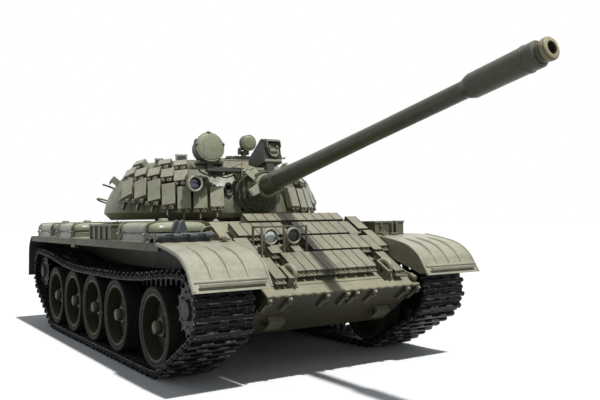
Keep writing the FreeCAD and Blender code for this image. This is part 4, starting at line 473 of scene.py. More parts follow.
weatherGroup = makeWeatherGroup()
finishes = {
    "hull": {"paint": (112, 110, 88), "faded": (138, 135, 111), "dust": (176, 171, 148), "dusting": 0.5,
             "wear": 0.4, "grimeAndCornerShade": 0.8, "specular": 0.3},
    # the fenders' olive paint, made darker than the hull's as painted shade
    "fender": {"paint": (84, 83, 64), "faded": (104, 102, 80), "dust": (160, 155, 132), "dusting": 0.4,
               "wear": 0.6, "grimeAndCornerShade": 0.4, "specular": 0.15, "bump": 0.15},
    # the mudguards' olive paint, made lighter than the hull's as painted light; the pale bare colour is edge
    # wear and also painted highlight on the ribs
    "mudguard": {"paint": (136, 134, 114), "faded": (160, 158, 138), "dust": (192, 188, 168),
                 "dusting": 0.4,
                 "wear": 0.6, "grimeAndCornerShade": 0.0, "dull": 0.3, "bump": 0.12, "bare": (206, 204, 192)},
    "turret": {"paint": (88, 89, 71), "faded": (112, 112, 91), "dust": (156, 153, 132), "dusting": 0.4,
               "wear": 0.3, "grimeAndCornerShade": 0.8, "dull": 0.38,
               "bump": 0.5, "depth": 0.0012, "grain": 520.0},
    "brick": {"paint": (122, 122, 102), "faded": (156, 155, 136), "dust": (192, 188, 170), "dusting": 0.55,
              "wear": 0.7, "grimeAndCornerShade": 0.85, "dull": 0.32, "bare": (176, 174, 158)},
    "slopeBrick": {"paint": (98, 96, 76), "faded": (124, 122, 100), "dust": (170, 165, 144), "dusting": 0.5,
                   "wear": 0.7, "grimeAndCornerShade": 0.85, "dull": 0.4, "bare": (158, 156, 138)},
    "gun": {"paint": (60, 63, 48), "faded": (80, 83, 65), "dust": (134, 133, 112), "dusting": 0.3,
            "dull": 0.4,
            "wear": 0.3, "grimeAndCornerShade": 0.3, "grain": 700.0, "bump": 0.2},
    "fitting": {"paint": (84, 84, 66), "faded": (114, 112, 90), "dusting": 0.5, "wear": 0.6, "grimeAndCornerShade": 0.6,
                "bare": (170, 168, 152)},
    "darkBody": {"paint": (44, 50, 42), "faded": (62, 68, 56), "dust": (120, 122, 104), "dusting": 0.4,
                 "wear": 0.5, "grimeAndCornerShade": 0.5, "bare": (140, 142, 130)},
    "fittingPale": {"paint": (120, 124, 100), "faded": (148, 150, 126), "dust": (184, 182, 160),
                    "dusting": 0.5,
                    "wear": 0.7, "grimeAndCornerShade": 0.5, "bare": (190, 188, 172)},
    "tank": {"paint": (92, 95, 73), "faded": (134, 135, 109), "dust": (184, 182, 158), "dusting": 0.75,
             "wear": 0.6, "grimeAndCornerShade": 0.8, "bump": 0.3, "dull": 0.28},
    # the wheel fittings' olive paint, made darker than the hull's as painted shade
    "wheelMetal": {"paint": (66, 66, 48), "faded": (94, 91, 68), "dust": (140, 134, 108), "dusting": 0.35,
                   "wear": 0.7, "grimeAndCornerShade": 0.6, "specular": 0.25, "bare": (168, 164, 146)},
    # near-black paint: painted shade in the gaps between glacis blocks and in the wheel openings, and the
    # dark glass of the second headlight
    "gap": {"paint": (30, 29, 22), "faded": (40, 38, 30), "dusting": 0.0, "wear": 0.0, "grimeAndCornerShade": 0.2},
    # near-black track steel, made darker still as painted shade; the sprockets and idlers take it too
    "track": {"paint": (15, 17, 20), "faded": (27, 30, 33), "dust": (70, 66, 56), "dusting": 0.12,
              "dull": 0.4,
              "wear": 0.85, "grimeAndCornerShade": 0.8, "bare": (168, 170, 168), "edge": 0.0004, "metal": True,
              "bump": 0.5,
              "specular": 0.15},
    "cleat": {"paint": (30, 33, 36), "faded": (52, 54, 56), "dust": (80, 76, 66), "dusting": 0.1,
              "dull": 0.36,
              "wear": 1.0, "grimeAndCornerShade": 0.5, "bare": (176, 178, 176), "edge": 0.0009, "metal": True,
              "specular": 0.3},
    "spare": {"paint": (52, 58, 62), "faded": (74, 80, 82), "dust": (120, 120, 108), "dusting": 0.35,
              "wear": 0.8, "grimeAndCornerShade": 0.6, "bare": (170, 172, 170), "metal": True, "bump": 0.4},
    "steel": {"paint": (150, 152, 146), "faded": (176, 176, 168), "dust": (170, 166, 146), "dusting": 0.2,
              "wear": 0.7, "grimeAndCornerShade": 0.4, "bare": (214, 214, 208), "metal": True},
    "muzzle": {"paint": (150, 140, 108), "faded": (176, 166, 132), "dusting": 0.2, "wear": 0.5,
               "grimeAndCornerShade": 0.5,
               "bare": (206, 198, 170)},
    "bright": {"paint": (150, 150, 132), "faded": (182, 180, 162), "dusting": 0.2, "wear": 0.5,
               "grimeAndCornerShade": 0.35,
               "bare": (232, 232, 224)},
    "rubber": {"paint": (36, 36, 36), "faded": (54, 54, 52), "dust": (96, 92, 80), "dusting": 0.35,
               "wear": 0.2, "grimeAndCornerShade": 0.3, "bare": (80, 78, 72), "bump": 0.35},
    "sandBox": {"paint": (168, 158, 112), "faded": (190, 180, 134), "dusting": 0.3, "wear": 0.4,
                "grimeAndCornerShade": 0.5},
    "board": {"paint": (28, 84, 52), "faded": (36, 100, 62), "dusting": 0.1, "wear": 0.2, "grimeAndCornerShade": 0.3},
    "motor": {"paint": (120, 120, 122), "faded": (140, 140, 142), "dusting": 0.1, "wear": 0.3,
              "grimeAndCornerShade": 0.3},
    "cell": {"paint": (46, 78, 120), "faded": (54, 88, 132), "dusting": 0.1, "wear": 0.1, "grimeAndCornerShade": 0.2},
}
surfaces = {key: weathered(key + "Finish", values) for key, values in finishes.items()}
print("materials made:", len(surfaces))


def wheelFinish(name, centre, discRadius, finishOut, finishIn):
    # rubber outside the disc's radius and paint inside it, measured from the wheel's own axle
    material = weathered(name, finishIn)
    tree = material.node_tree
    shader = tree.nodes["Principled BSDF"]
    where = tree.nodes.new("ShaderNodeTexCoord").outputs["Object"]
    away = addNode(tree, "ShaderNodeVectorMath", {"operation": "SUBTRACT"}, {0: where, 1: (0.0, *centre)})
    flat = addNode(tree, "ShaderNodeVectorMath", {"operation": "MULTIPLY"},
                   {0: away.outputs[0], 1: (0, 1, 1)})
    radius = addNode(tree, "ShaderNodeVectorMath", {"operation": "LENGTH"},
                     {0: flat.outputs[0]}).outputs["Value"]
    outside = mapRange(tree, radius, discRadius - 0.0002, discRadius + 0.0002)
    ring = addNode(tree, "ShaderNodeMath", {"operation": "COMPARE"},
                   {0: radius, 1: discRadius + 0.0019, 2: 0.0004})
    grey = mapRange(tree, noiseOf(tree, where, 240.0), 0.35, 0.65)
    rubber = mixColour(tree, grey, colour(*finishOut["paint"]), colour(*finishOut["faded"]))
    dusty = mapRange(tree, noiseOf(tree, where, 45.0, 5.0), 0.42, 0.7, 0.0, 0.5)
    rubber = mixColour(tree, dusty, rubber, colour(*finishOut["dust"]))
    rubber = mixColour(tree, mathNode(tree, "MULTIPLY", ring.outputs[0], 0.5), rubber,
                       colour(*finishOut["bare"]))
    painted = shader.inputs["Base Color"].links[0].from_socket
    roughness = shader.inputs["Roughness"].links[0].from_socket
    tree.links.new(mixColour(tree, outside, painted, rubber), shader.inputs["Base Color"])
    tree.links.new(mixFloat(tree, outside, roughness, 0.82), shader.inputs["Roughness"])
    return material


def lensGlass(name, tint, rough=0.12, ribs=0.0):
    # a clear cover seen from outside: a smooth coat over a patchy tint, with moulded ribs where asked
    material = newMaterial(name)
    tree = material.node_tree
    shader = tree.nodes["Principled BSDF"]
    where = tree.nodes.new("ShaderNodeTexCoord").outputs["Object"]
    patches = mapRange(tree, noiseOf(tree, where, 90.0, 4.0), 0.35, 0.65)
    dark = tuple(value * 0.72 for value in colour(*tint)[:3]) + (1,)
    tree.links.new(mixColour(tree, patches, dark, colour(*tint)), shader.inputs["Base Color"])
    tree.links.new(mapRange(tree, noiseOf(tree, where, 400.0), 0.3, 0.7, rough, rough + 0.12),
                   shader.inputs["Roughness"])
    shader.inputs["Coat Weight"].default_value = 0.8
    shader.inputs["Coat Roughness"].default_value = 0.08
    if ribs:
        wave = addNode(tree, "ShaderNodeTexWave", {"wave_type": "BANDS", "bands_direction": "X"}, {
            "Vector": where, "Scale": ribs, "Distortion": 0.0})
        bump = addNode(tree, "ShaderNodeBump", {},
                       {"Strength": 0.7, "Distance": 0.0006, "Height": wave.outputs[1]})
        tree.links.new(bump.outputs[0], shader.inputs["Normal"])
    return material


def canvasFinish(name, paint, faded):
    # two crossed thread waves on the surface's own map, with stains
    material = newMaterial(name)
    tree = material.node_tree
    shader = tree.nodes["Principled BSDF"]
    coords = tree.nodes.new("ShaderNodeTexCoord")
    warp = addNode(tree, "ShaderNodeTexWave", {"bands_direction": "X"},
                   {"Vector": coords.outputs["UV"], "Scale": 34.0, "Distortion": 0.4})
    weft = addNode(tree, "ShaderNodeTexWave", {"bands_direction": "Y"},
                   {"Vector": coords.outputs["UV"], "Scale": 26.0, "Distortion": 0.4})
    threads = mathNode(tree, "MAXIMUM", warp.outputs[1], weft.outputs[1])
    stains = mapRange(tree, noiseOf(tree, coords.outputs["Object"], 110.0, 5.0), 0.35, 0.65)
    cloth = mixColour(tree, stains, colour(*paint), colour(*faded))
    cloth = mixColour(tree, 1.0, cloth, mapRange(tree, threads, 0.0, 1.0, 0.78, 1.05), "MULTIPLY")
    tree.links.new(cloth, shader.inputs["Base Color"])
    tree.links.new(mapRange(tree, stains, 0.0, 1.0, 0.8, 0.95), shader.inputs["Roughness"])
    bump = addNode(tree, "ShaderNodeBump", {}, {"Strength": 0.35, "Distance": 0.0004, "Height": threads})
    tree.links.new(bump.outputs[0], shader.inputs["Normal"])
    shader.inputs["Sheen Weight"].default_value = 0.25
    return material


surfaces["headlightGlass"] = lensGlass("headlightGlass", (222, 232, 232), 0.1, ribs=160.0)
surfaces["darkGlass"] = lensGlass("darkGlass", (22, 24, 34), 0.08)
surfaces["blueGlass"] = lensGlass("blueGlass", (34, 40, 78), 0.08)
surfaces["canvas"] = canvasFinish("mantletCanvas", (50, 54, 40), (78, 82, 60))

wheelCentre = {"up": 0.0307, "along": (-0.05071, 0.02189, 0.07729, 0.13269, 0.18809), "disc": 0.0213}
# the road wheels' olive paint, made darker than the hull's as painted shade
shadedWheelPaint = {"paint": (50, 52, 38), "faded": (74, 73, 54), "dust": (120, 115, 92), "dusting": 0.3,
              "wear": 0.45, "grimeAndCornerShade": 0.7, "bare": (140, 136, 116), "specular": 0.2}
# black rubber, made darker still as painted shade
tyre = {"paint": (22, 22, 22), "faded": (38, 38, 36), "dust": (70, 68, 60), "bare": (120, 118, 110)}
for number, along in enumerate(wheelCentre["along"], 1):
    surfaces[f"wheel{number}"] = wheelFinish(
        f"roadWheel{number}Finish", (along, wheelCentre["up"]), wheelCentre["disc"], tyre, shadedWheelPaint)


def hullWithPaintedShade(name, values, shade):
    # the hull's paint with painted shade: patchy and dark where a face looks down or stands below the fenders
    material = weathered(name, values)
    tree = material.node_tree
    shader = tree.nodes["Principled BSDF"]
    facing = tree.nodes.new("ShaderNodeNewGeometry").outputs["Normal"]
    rise = addNode(tree, "ShaderNodeSeparateXYZ", {}, {0: facing}).outputs[2]
    where = addNode(tree, "ShaderNodeSeparateXYZ", {},
                    {0: tree.nodes.new("ShaderNodeTexCoord").outputs["Object"]})
    under = mapRange(tree, rise, shade["down"], shade["down"] - 0.15)
    out = mapRange(tree, mathNode(tree, "ABSOLUTE", where.outputs[0], 0.0), shade["side"] - 0.0004,
                   shade["side"])
    low = mapRange(tree, where.outputs[2], shade["below"], shade["below"] - 0.0005)
    wall = mathNode(tree, "MULTIPLY", out, low)
    shadeMask = mathNode(tree, "MAXIMUM", under, wall)
    patchy = mapRange(tree, noiseOf(tree, where.inputs[0].links[0].from_socket, 60.0, 5.0), 0.3, 0.7)
    paintedShade = mixColour(tree, patchy, colour(*shade["dark"]), colour(*shade["light"]))
    clean = shader.inputs["Base Color"].links[0].from_socket
    tree.links.new(mixColour(tree, mathNode(tree, "MULTIPLY", shadeMask, shade["strength"]), clean, paintedShade),
                   shader.inputs["Base Color"])
    return material


# painted shade on the hull's down-facing faces and on its walls below the fenders
surfaces["paintedShadeHull"] = hullWithPaintedShade("paintedShadeHullFinish", finishes["hull"], {
    "down": -0.05, "side": 0.0572, "below": 0.0826, "dark": (36, 34, 22), "light": (58, 53, 36),
    "strength": 0.85})

nodeSurface = {
    "paintedShadeHull": ("upper_hull", "lower_hull"),
    "fender": ("fenders",),
    "mudguard": ("front_mudguard_left", "front_mudguard_right"),
    "turret": ("turret_shell",),
    "brick": ("turret_armour_blocks",),
    "slopeBrick": ("glacis_armour_blocks",),
    "gun": ("gun_barrel",),
    "fitting": ("commander_cupola", "commander_hatch", "loader_hatch", "driver_hatch", "headlight_guard",
                "tow_fittings", "stowage_boxes", "engine_deck_fittings", "gun_mantlet", "swing_arms",
                "fuel_tanks", "turret_lamp"),
    "darkBody": ("driver_periscopes", "cupola_searchlight", "main_searchlight", "rangefinder",
                 "headlights"),
    "track": ("track_left", "track_right", "track_pins", "drive_sprocket_left", "drive_sprocket_right",
              "idler_wheel_left", "idler_wheel_right"),
    "spare": ("spare_links",),
    "steel": ("hull_screws", "drive_gear_left", "drive_gear_right", "motor_pinion_left",
              "motor_pinion_right",
              "traverse_pinion", "turret_ring_gear"),
    "rubber": ("rear_mudguards",),
    "board": ("control_board",),
    "motor": ("electric_motors", "gearbox_housings", "elevation_servo"),
    "cell": ("battery_pack",),
    "darkGlass": ("headlight_lenses",),
    "canvas": ("mantlet_cover",),
}


def dress(thing, material):
    # puts one material on every slot that a CAD node has
    slots = thing.data.materials
    if not len(slots):
        slots.append(material)
    for index in range(len(slots)):
        slots[index] = material


for key, names in nodeSurface.items():
    for name in names:
        dress(cadNodes[name], surfaces[key])
for side in ("left", "right"):
    for number in range(1, 6):
        dress(cadNodes[f"road_wheel_{side}_{number}"], surfaces[f"wheel{number}"])
print("CAD nodes dressed")


gun = {"trunnion": (0.0, -0.612, 116.5), "elevation": 11.0}
gunMatrix = Matrix.Translation(gun["trunnion"]) @ Matrix.Rotation(-math.radians(gun["elevation"]), 4, "X")
slope = math.radians(30)
glacis = {
    "nose": np.array((0.0, -120.61, 52.1)),
    "up": np.array((0.0, math.cos(slope), math.sin(slope))),
    "out": np.array((0.0, -math.sin(slope), math.cos(slope))),
}
dome = {"centre": np.array((0.0, 73.29, 97.5)), "half": np.array((86.0, 84.0, 60.0))}
xDirection = np.array((1.0, 0.0, 0.0))
trackCentre = 82.5


def domePoint(azimuth, height):
    # a point of the turret's casting and its outward normal; azimuth turns from the front to the tank's left
    rise = (height - dome["centre"][2]) / dome["half"][2]
    level = math.sqrt(max(0.0, 1 - rise * rise))
    angle = math.radians(azimuth)
    local = np.array((math.sin(angle) * level, -math.cos(angle) * level, rise))
    return dome["centre"] + local * dome["half"], unit(local / dome["half"])


lugs = {"wide": 3.4, "long": 3.2, "thick": 0.9, "boltRadius": 0.75, "boltTall": 0.8}


def lug(place, across, along, out):
    # a small plate with one bolt
    plateShape = block(place, (lugs["wide"], lugs["long"], lugs["thick"]), across, along)
    return [plateShape,
            bolt(np.asarray(place) + out * lugs["thick"] / 2, out, lugs["boltRadius"], lugs["boltTall"])]


def glacisLugs():
    # two lugs under each block's lower edge, in the plane of the slope
    shapes = []
    for points, faces in islands("glacis_armour_blocks"):
        points = points[np.unique(faces)] - glacis["nose"]
        across, up, out = points @ xDirection, points @ glacis["up"], points @ glacis["out"]
        if up.min() < 2.5 or np.ptp(up) < 5:
            continue
        for share in (0.27, 0.73):
            place = glacis["nose"] + xDirection * (across.min() + share * np.ptp(across))
            place = place + glacis["up"] * (up.min() - 0.9) + glacis["out"] * (out.min() + 0.55 * np.ptp(out))
            shapes += lug(place, xDirection, glacis["up"], glacis["out"])
    return addPiece("glacisBlockLugs", shapes, surfaces["fitting"], "hull")


def turretLugs():
    # the same under each turret block, with a strut back to the casting under the outer ones
    shapes = []
    middle = dome["centre"]
    for points, faces in islands("turret_armour_blocks"):
        corners = points[faces]
        normal = np.cross(corners[:, 1] - corners[:, 0], corners[:, 2] - corners[:, 0])
        centre = points[np.unique(faces)].mean(0)
        away = unit((centre - middle) / dome["half"] ** 2)
        facing = (normal @ away) / np.linalg.norm(normal, axis=1).clip(1e-9) > 0.75
        if not facing.any():
            continue
        out = unit(normal[facing].sum(0))
        across = unit(np.cross((0, 0, 1), out))
        down = unit(np.cross(across, out))
        local = points[np.unique(faces)] - centre
        sideways, fall, depth = local @ across, local @ down, local @ out
        for share in (0.25, 0.75):
            place = centre + across * (sideways.min() + share * np.ptp(sideways))
            place = place + down * (fall.max() + 0.8) + out * (depth.max() - 1.6)
            shapes += lug(place, across, down, out)
        if centre[2] < 122:
            foot = centre + down * (fall.max() + 1.5)
            shapes.append(block(foot + down * 2.0 - out * 0.5, (1.0, 6.5, 3.0), across, down))
    return addPiece("turretBlockLugs", shapes, surfaces["fitting"], "turret")


glacisLugs()
turretLugs()
print("block fittings made")


def onGun(name, shapes, surface, bevel=0.0):
    # a piece drawn in the gun's own level frame, then raised with it
    return addPiece(name, [moved(shape, gunMatrix) for shape in shapes], surfaces[surface], "gun",
                    bevel)


onGun("muzzleRing", [turned([
    (0.0, 5.2), (0.0, 5.4), (0.6, 5.5), (1.9, 5.5), (2.7, 5.2), (3.07, 4.75), (3.07, 3.2), (2.6, 3.05)],
    (0, -270.25, 0), (0, -1, 0), 48)], "muzzle")

sleeveBand = {"from": 259.0, "radius": 6.4}
onGun("sleeveBand", [turned([
    (0, 6.2), (0, sleeveBand["radius"] + 0.12), (0.5, sleeveBand["radius"] + 0.3),
    (1.6, sleeveBand["radius"] + 0.3),
    (2.1, sleeveBand["radius"] + 0.12), (2.1, 6.2)], (0, -sleeveBand["from"], 0), (0, -1, 0), 48)], "gun")

flange = {"thick": 0.8, "back": -23.4}
leftTriangle = [(-7.0, 0.5), (-17.5, 11.5), (-14.5, 14.0), (-5.0, 6.5)]
lowerTriangle = [(-7.6, 1.5), (-16.5, -4.5), (-14.0, -9.5), (-5.2, -5.6)]
upperTriangle = [(-5.5, 5.8), (-13.0, 13.0), (-8.5, 15.0), (-1.5, 7.9)]
flangeShapes = [plate(outline[::-1], flange["thick"], (0, flange["back"], 0), (1, 0, 0), (0, 0.25, 1))
                for outline in (leftTriangle, lowerTriangle, upperTriangle)]
for outline in (leftTriangle, lowerTriangle, upperTriangle):
    for share in (0.15, 0.5, 0.85):
        first, second = np.array(outline[1]), np.array(outline[2])
        x, z = (first * share + second * (1 - share)) * 0.93
        flangeShapes.append(bolt((x, flange["back"] - flange["thick"] + 0.25 * z * 0.97, z * 0.97),
                                 (0, -1, 0.2), 0.6, 0.6))
flangeShapes.append(turned([(0, 7.3), (0, 9.0), (1.2, 9.2), (2.4, 9.0), (3.4, 8.0), (3.4, 7.3)],
                           (0, -21.5, 0), (0, -1, 0), 40))
onGun("rootFlange", flangeShapes, "fittingPale", 0.15)

onGun("sightBox", [
    block((-13.6, -9.5, 14.2), (5.2, 3.0, 8.6), (0.86, 0, -0.5), (0, 1, 0)),
    turned([(0, 1.7), (0.9, 1.5), (0.9, 0)], (-13.6, -11.2, 15.6), (0, -1, 0.1), 16),
    block((-10.4, -11.5, 8.8), (2.2, 2.0, 5.0), (0.8, 0, -0.6), (0, 1, 0)),
], "sandBox", 0.3)

coverDisc = {"centre": (-39.5, -17.6, 29.0), "sides": 56}
onGun("searchlightCover", [turned([
    (-1.1, 9.4), (-1.1, 10.9), (0.2, 10.95), (0.5, 10.5), (0.35, 9.9), (0.75, 9.5), (0.9, 8.9), (1.25, 6.5),
    (1.6, 3.0), (1.7, 0)], coverDisc["centre"], (0, -1, 0), coverDisc["sides"])], "fittingPale")
rimLugs = []
for angle in (12, 92, 170, 232, 306):
    side = np.array((math.cos(math.radians(angle)), 0, math.sin(math.radians(angle))))
    tangent = np.array((-side[2], 0, side[0]))
    place = np.array(coverDisc["centre"]) + side * 10.7 + (0, 1.0, 0)
    rimLugs += [block(place, (2.4, 1.7, 3.2), tangent, side),
                bolt(place + (0, -1.5, 0), (0, -1, 0), 0.75, 0.9)]
onGun("searchlightLugs", rimLugs, "fitting", 0.25)

platform = [
    block((-40.0, -11.2, 15.9), (28.0, 2.2, 1.0)),
    block((-40.0, -6.4, 15.9), (25.0, 1.6, 1.0)),
    block((-52.0, -9.5, 16.6), (1.2, 8.0, 2.6)),
    block((-28.5, -9.5, 16.4), (1.2, 8.0, 2.6)),
    block((-21.0, -10.2, 14.9), (14.5, 1.8, 0.9), (0.97, 0, -0.2)),
    pipe(smoothPath([(-54.5, -12.5, 17.6), (-50, -12.4, 14.9), (-44, -12.3, 14.3), (-36, -12.4, 14.5)]),
         0.42),
    pipe(smoothPath([(-30, -13.4, 13.2), (-24, -14.8, 14.8), (-18, -16.2, 17.0), (-14.6, -17.2, 18.2)]),
         0.55),
    pipe(smoothPath([(-15.1, -16.6, 18.0), (-15.4, -16.4, 12.0), (-14.9, -16.2, 6.0), (-14.0, -15.6, 1.0)]),
         0.42),
]
onGun("lampPlatform", platform, "fittingPale")
conduits = [
    pipe(smoothPath([(-45, -7.6, 18.0), (-46, -9.6, 13.4), (-42, -10.9, 10.6), (-36, -11.4, 9.2),
                     (-28, -11.0, 10.2), (-20, -10.4, 12.4)]), 0.6),
    pipe(smoothPath([(-36, -7.5, 18.0), (-34, -9.8, 14.0), (-31, -11.0, 12.0), (-25, -11.4, 13.0),
                     (-18.5, -10.8, 14.2)]), 0.5),
    pipe(smoothPath([(-33.0, -8, 15.2), (-32.0, -9.8, 11.5), (-27, -10.5, 8.4), (-22, -10.0, 9.6),
                     (-17.5, -9.6, 11.0)]), 0.45),
    block((-35.2, -8.2, 12.4), (5.2, 4.0, 4.2), (0.96, 0, 0.28)),
    block((-29.4, -9.0, 12.6), (3.8, 3.4, 5.2), (0.9, 0, -0.4)),
    turned([(0, 0), (0, 1.9), (3.6, 1.9), (4.2, 1.4), (4.2, 0)], (-24.0, -8.0, 12.6), (0.3, -1, 0.1), 16),
    turned([(0, 0), (0, 1.3), (3.2, 1.3), (3.6, 0.9), (3.6, 0)], (-33.8, -8.5, 9.6), (-0.4, -1, 0.1), 14),
]
onGun("lampConduits", conduits, "darkBody", 0.15)

rangeWindow = {"centre": np.array((9.2, -22.6, 27.2))}
eightSides = np.radians(np.arange(8) * 45 + 22.5)
outer = np.stack([np.cos(eightSides), np.sin(eightSides)], -1)
frameRows = [(0.4, 5.4), (-0.9, 5.6), (-1.2, 5.0), (-0.9, 4.4), (0.6, 4.2)]
octagon = np.stack([np.column_stack([
    rangeWindow["centre"][0] + outer[:, 0] * size * 0.92,
    np.full(8, rangeWindow["centre"][1] + back),
    rangeWindow["centre"][2] + outer[:, 1] * size]) for back, size in frameRows])
rangeShapes = [
    gridShape(octagon, wrapRows=True, wrapCols=True),
    block((9.2, -24.2, 33.9), (10.0, 4.2, 0.7), (1, 0, 0), (0, 0.93, 0.36)),
    block((3.6, -23.8, 31.2), (0.7, 3.6, 5.0)),
    block((14.8, -23.8, 31.2), (0.7, 3.6, 5.0)),
    block((8.6, -22.5, 19.2), (13.6, 0.9, 1.9)),
    turned([(0, 0), (0, 1.2), (1.2, 1.25), (1.4, 1.9), (3.1, 1.9), (3.3, 1.5), (3.3, 0)],
           (16.6, -16.0, 24.0), (1, 0, 0), 18),
    pipe(smoothPath([(17.0, -20.5, 21.8), (19.0, -21.2, 21.6), (20.2, -21.0, 22.6)], 10), 0.7),
]
for x in (1.9, 15.4):
    for z in (18.6, 34.9):
        rangeShapes.append(bolt((x, -22.4, z), (0, -1, 0), 0.75, 0.7))
onGun("rangefinderFront", rangeShapes, "fittingPale", 0.15)
onGun("rangefinderCover", [
    turned([(0, 4.6), (0.35, 4.3), (0.5, 3.4), (0.6, 0)], rangeWindow["centre"] + (0, -0.1, 0), (0, -1, 0),
           24),
    block(rangeWindow["centre"] + (0, -1.3, -0.8), (7.0, 1.1, 1.6)),
    block(rangeWindow["centre"] + (-3.2, -1.3, 2.2), (1.2, 1.1, 2.4)),
    block(rangeWindow["centre"] + (3.2, -1.3, 2.2), (1.2, 1.1, 2.4)),
], "fittingPale", 0.15)


def canvasCover():
    # rings from the turret's front to the gun's neck; swags and pleats push each point along its own
    # outward direction: three crossing sine waves, strongest below, none at the two clamped ends
    values = {"rows": 46, "around": 132, "rings": ((8.3, 18.2, 100.4, 132.0), (12.5, 17.6, 101.5, 132.4),
              (16.5, 15.6, 103.9, 132.4), (19.5, 12.9, 107.2, 131.8), (22.4, 9.7, 111.5, 130.9)),
              "swag": 1.25, "pleat": 0.75}
    share = np.linspace(0, 1, values["rows"])
    knots = np.linspace(0, 1, len(values["rings"]))
    ahead, half, low, high = (np.interp(share, knots, column) for column in np.array(values["rings"]).T)
    angle = np.linspace(0, 2 * math.pi, values["around"], endpoint=False)
    s, a = np.meshgrid(share, angle, indexing="ij")
    below = 0.35 + 0.65 * (0.5 - 0.5 * np.sin(a)) ** 0.8
    clamp = np.sin(math.pi * s.clip(0, 1)) ** 0.45
    swag = np.sin(2 * math.pi * (4.2 * s + 0.28 * np.sin(2 * a + 0.7) + 0.12 * np.sin(5 * a)))
    swag = np.sign(swag) * np.abs(swag) ** 0.7
    pleat = np.sin(11 * a + 5.0 * s + 1.6 * np.sin(3 * a)) * (1 - s) + 0.5 * np.sin(17 * a - 7 * s + 0.6)
    push = clamp * below * (values["swag"] * swag + values["pleat"] * pleat)
    sag = -1.4 * clamp * np.clip(-np.sin(a), 0, 1) ** 2
    x = (half[:, None] + push) * np.cos(a)
    z = (low + high)[:, None] / 2 + ((high - low)[:, None] / 2 + push) * np.sin(a) + sag
    y = gun["trunnion"][1] - ahead[:, None] - 0.5 * push * clamp
    points = np.stack([x, np.broadcast_to(y, x.shape), z], -1)
    verts, faces = gridShape(points, wrapCols=True)
    piece = addPiece("mantletCanvas", [(verts, faces)], surfaces["canvas"], None, 0.0, 180)
    layer = piece.data.uv_layers.new(name="cloth")
    corner = np.empty(len(piece.data.loops), int)
    piece.data.loops.foreach_get("vertex_index", corner)
    where = np.array([vertex.co for vertex in piece.data.vertices])
    around = np.arctan2(where[:, 2] - 0.1165, where[:, 0]) / (2 * math.pi)
    flat = np.stack([around[corner] * 0.1, where[corner, 1]], -1) * 10
    layer.data.foreach_set("uv", flat.ravel())
    return piece


canvas = canvasCover()
thicker = canvas.modifiers.new("cloth", "SOLIDIFY")
thicker.thickness = 0.0006
thicker.offset = -1
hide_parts("mantlet_cover")
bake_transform(canvas)
print("gun fittings made")


def ovalPort(name, azimuth, height, half, lift=0.3):
    # a raised oval lip on the casting round a dark glass, both in the plane that touches it there
    place, out = domePoint(azimuth, height)
    across = unit(np.cross((0, 0, 1), out))
    up = np.cross(out, across)
    angle = np.linspace(0, 2 * math.pi, 40, endpoint=False)
    rows = [(0.0, -0.8), (0.1, 1.0), (-0.5, 1.5), (-1.1, 1.2), (-1.4, 0.2), (-1.2, -0.8)]
    grid = np.stack([
        place + across * ((half[0] + grow) * np.cos(angle))[:, None]
        + up * ((half[1] + grow) * np.sin(angle))[:, None] + out * (lift + tall)
        for grow, tall in rows])
    addPiece(name + "Lip", [gridShape(grid, wrapRows=True, wrapCols=True)], surfaces["turret"], "turret")
    inside = np.stack([
        place + across * (share * (half[0] - 1.1) * np.cos(angle))[:, None]
        + up * (share * (half[1] - 1.1) * np.sin(angle))[:, None] + out * (lift + 0.5 - 0.25 * share)
        for share in (1.0, 0.6, 0.0)])
    addPiece(name + "Glass", [gridShape(inside, wrapCols=True)], surfaces["darkGlass"], "turret")


ovalPort("sightPort", -14.8, 118.3, (3.1, 5.8), 0.7)
ovalPort("gunnerPort", 20.0, 117.0, (2.6, 5.2), 0.6)

turretLamp = {"centre": np.array((-49.5, -3.712, 122.3))}
addPiece("turretLampRim", [turned([
    (4.0, 4.4), (4.9, 4.5), (5.2, 5.0), (4.9, 5.75), (4.1, 5.85), (3.2, 5.7), (3.2, 4.6)],
    turretLamp["centre"], (0, -1, 0), 40)], surfaces["bright"], "turret")
addPiece("turretLampGlass",
         [turned([(2.6, 4.55), (3.1, 3.6), (3.4, 2.0), (3.5, 0)], turretLamp["centre"], (0, -1, 0), 32)],
         surfaces["blueGlass"], "turret")
addPiece("turretLampFittings", [
    block(turretLamp["centre"] + (7.2, -1.0, 0.6), (3.0, 2.6, 2.8), (0.95, 0.3, 0)),
    bolt(turretLamp["centre"] + (7.2, -2.3, 0.6), (0, -1, 0), 0.9, 1.2),
    turned([(0, 0), (0, 1.5), (2.2, 1.7), (3.0, 1.2), (3.0, 0)], turretLamp["centre"] + (8.0, -1.6, 3.4),
           (0.2, -1, 0.1), 14),
    pipe(smoothPath([turretLamp["centre"] + offset for offset in (
        (6.0, 0.5, -1.0), (8.0, 0.5, -3.0), (9.5, 2.0, -4.5), (10.5, 4.5, -5.0))], 14), 0.5),
], surfaces["darkBody"], "turret", 0.2)


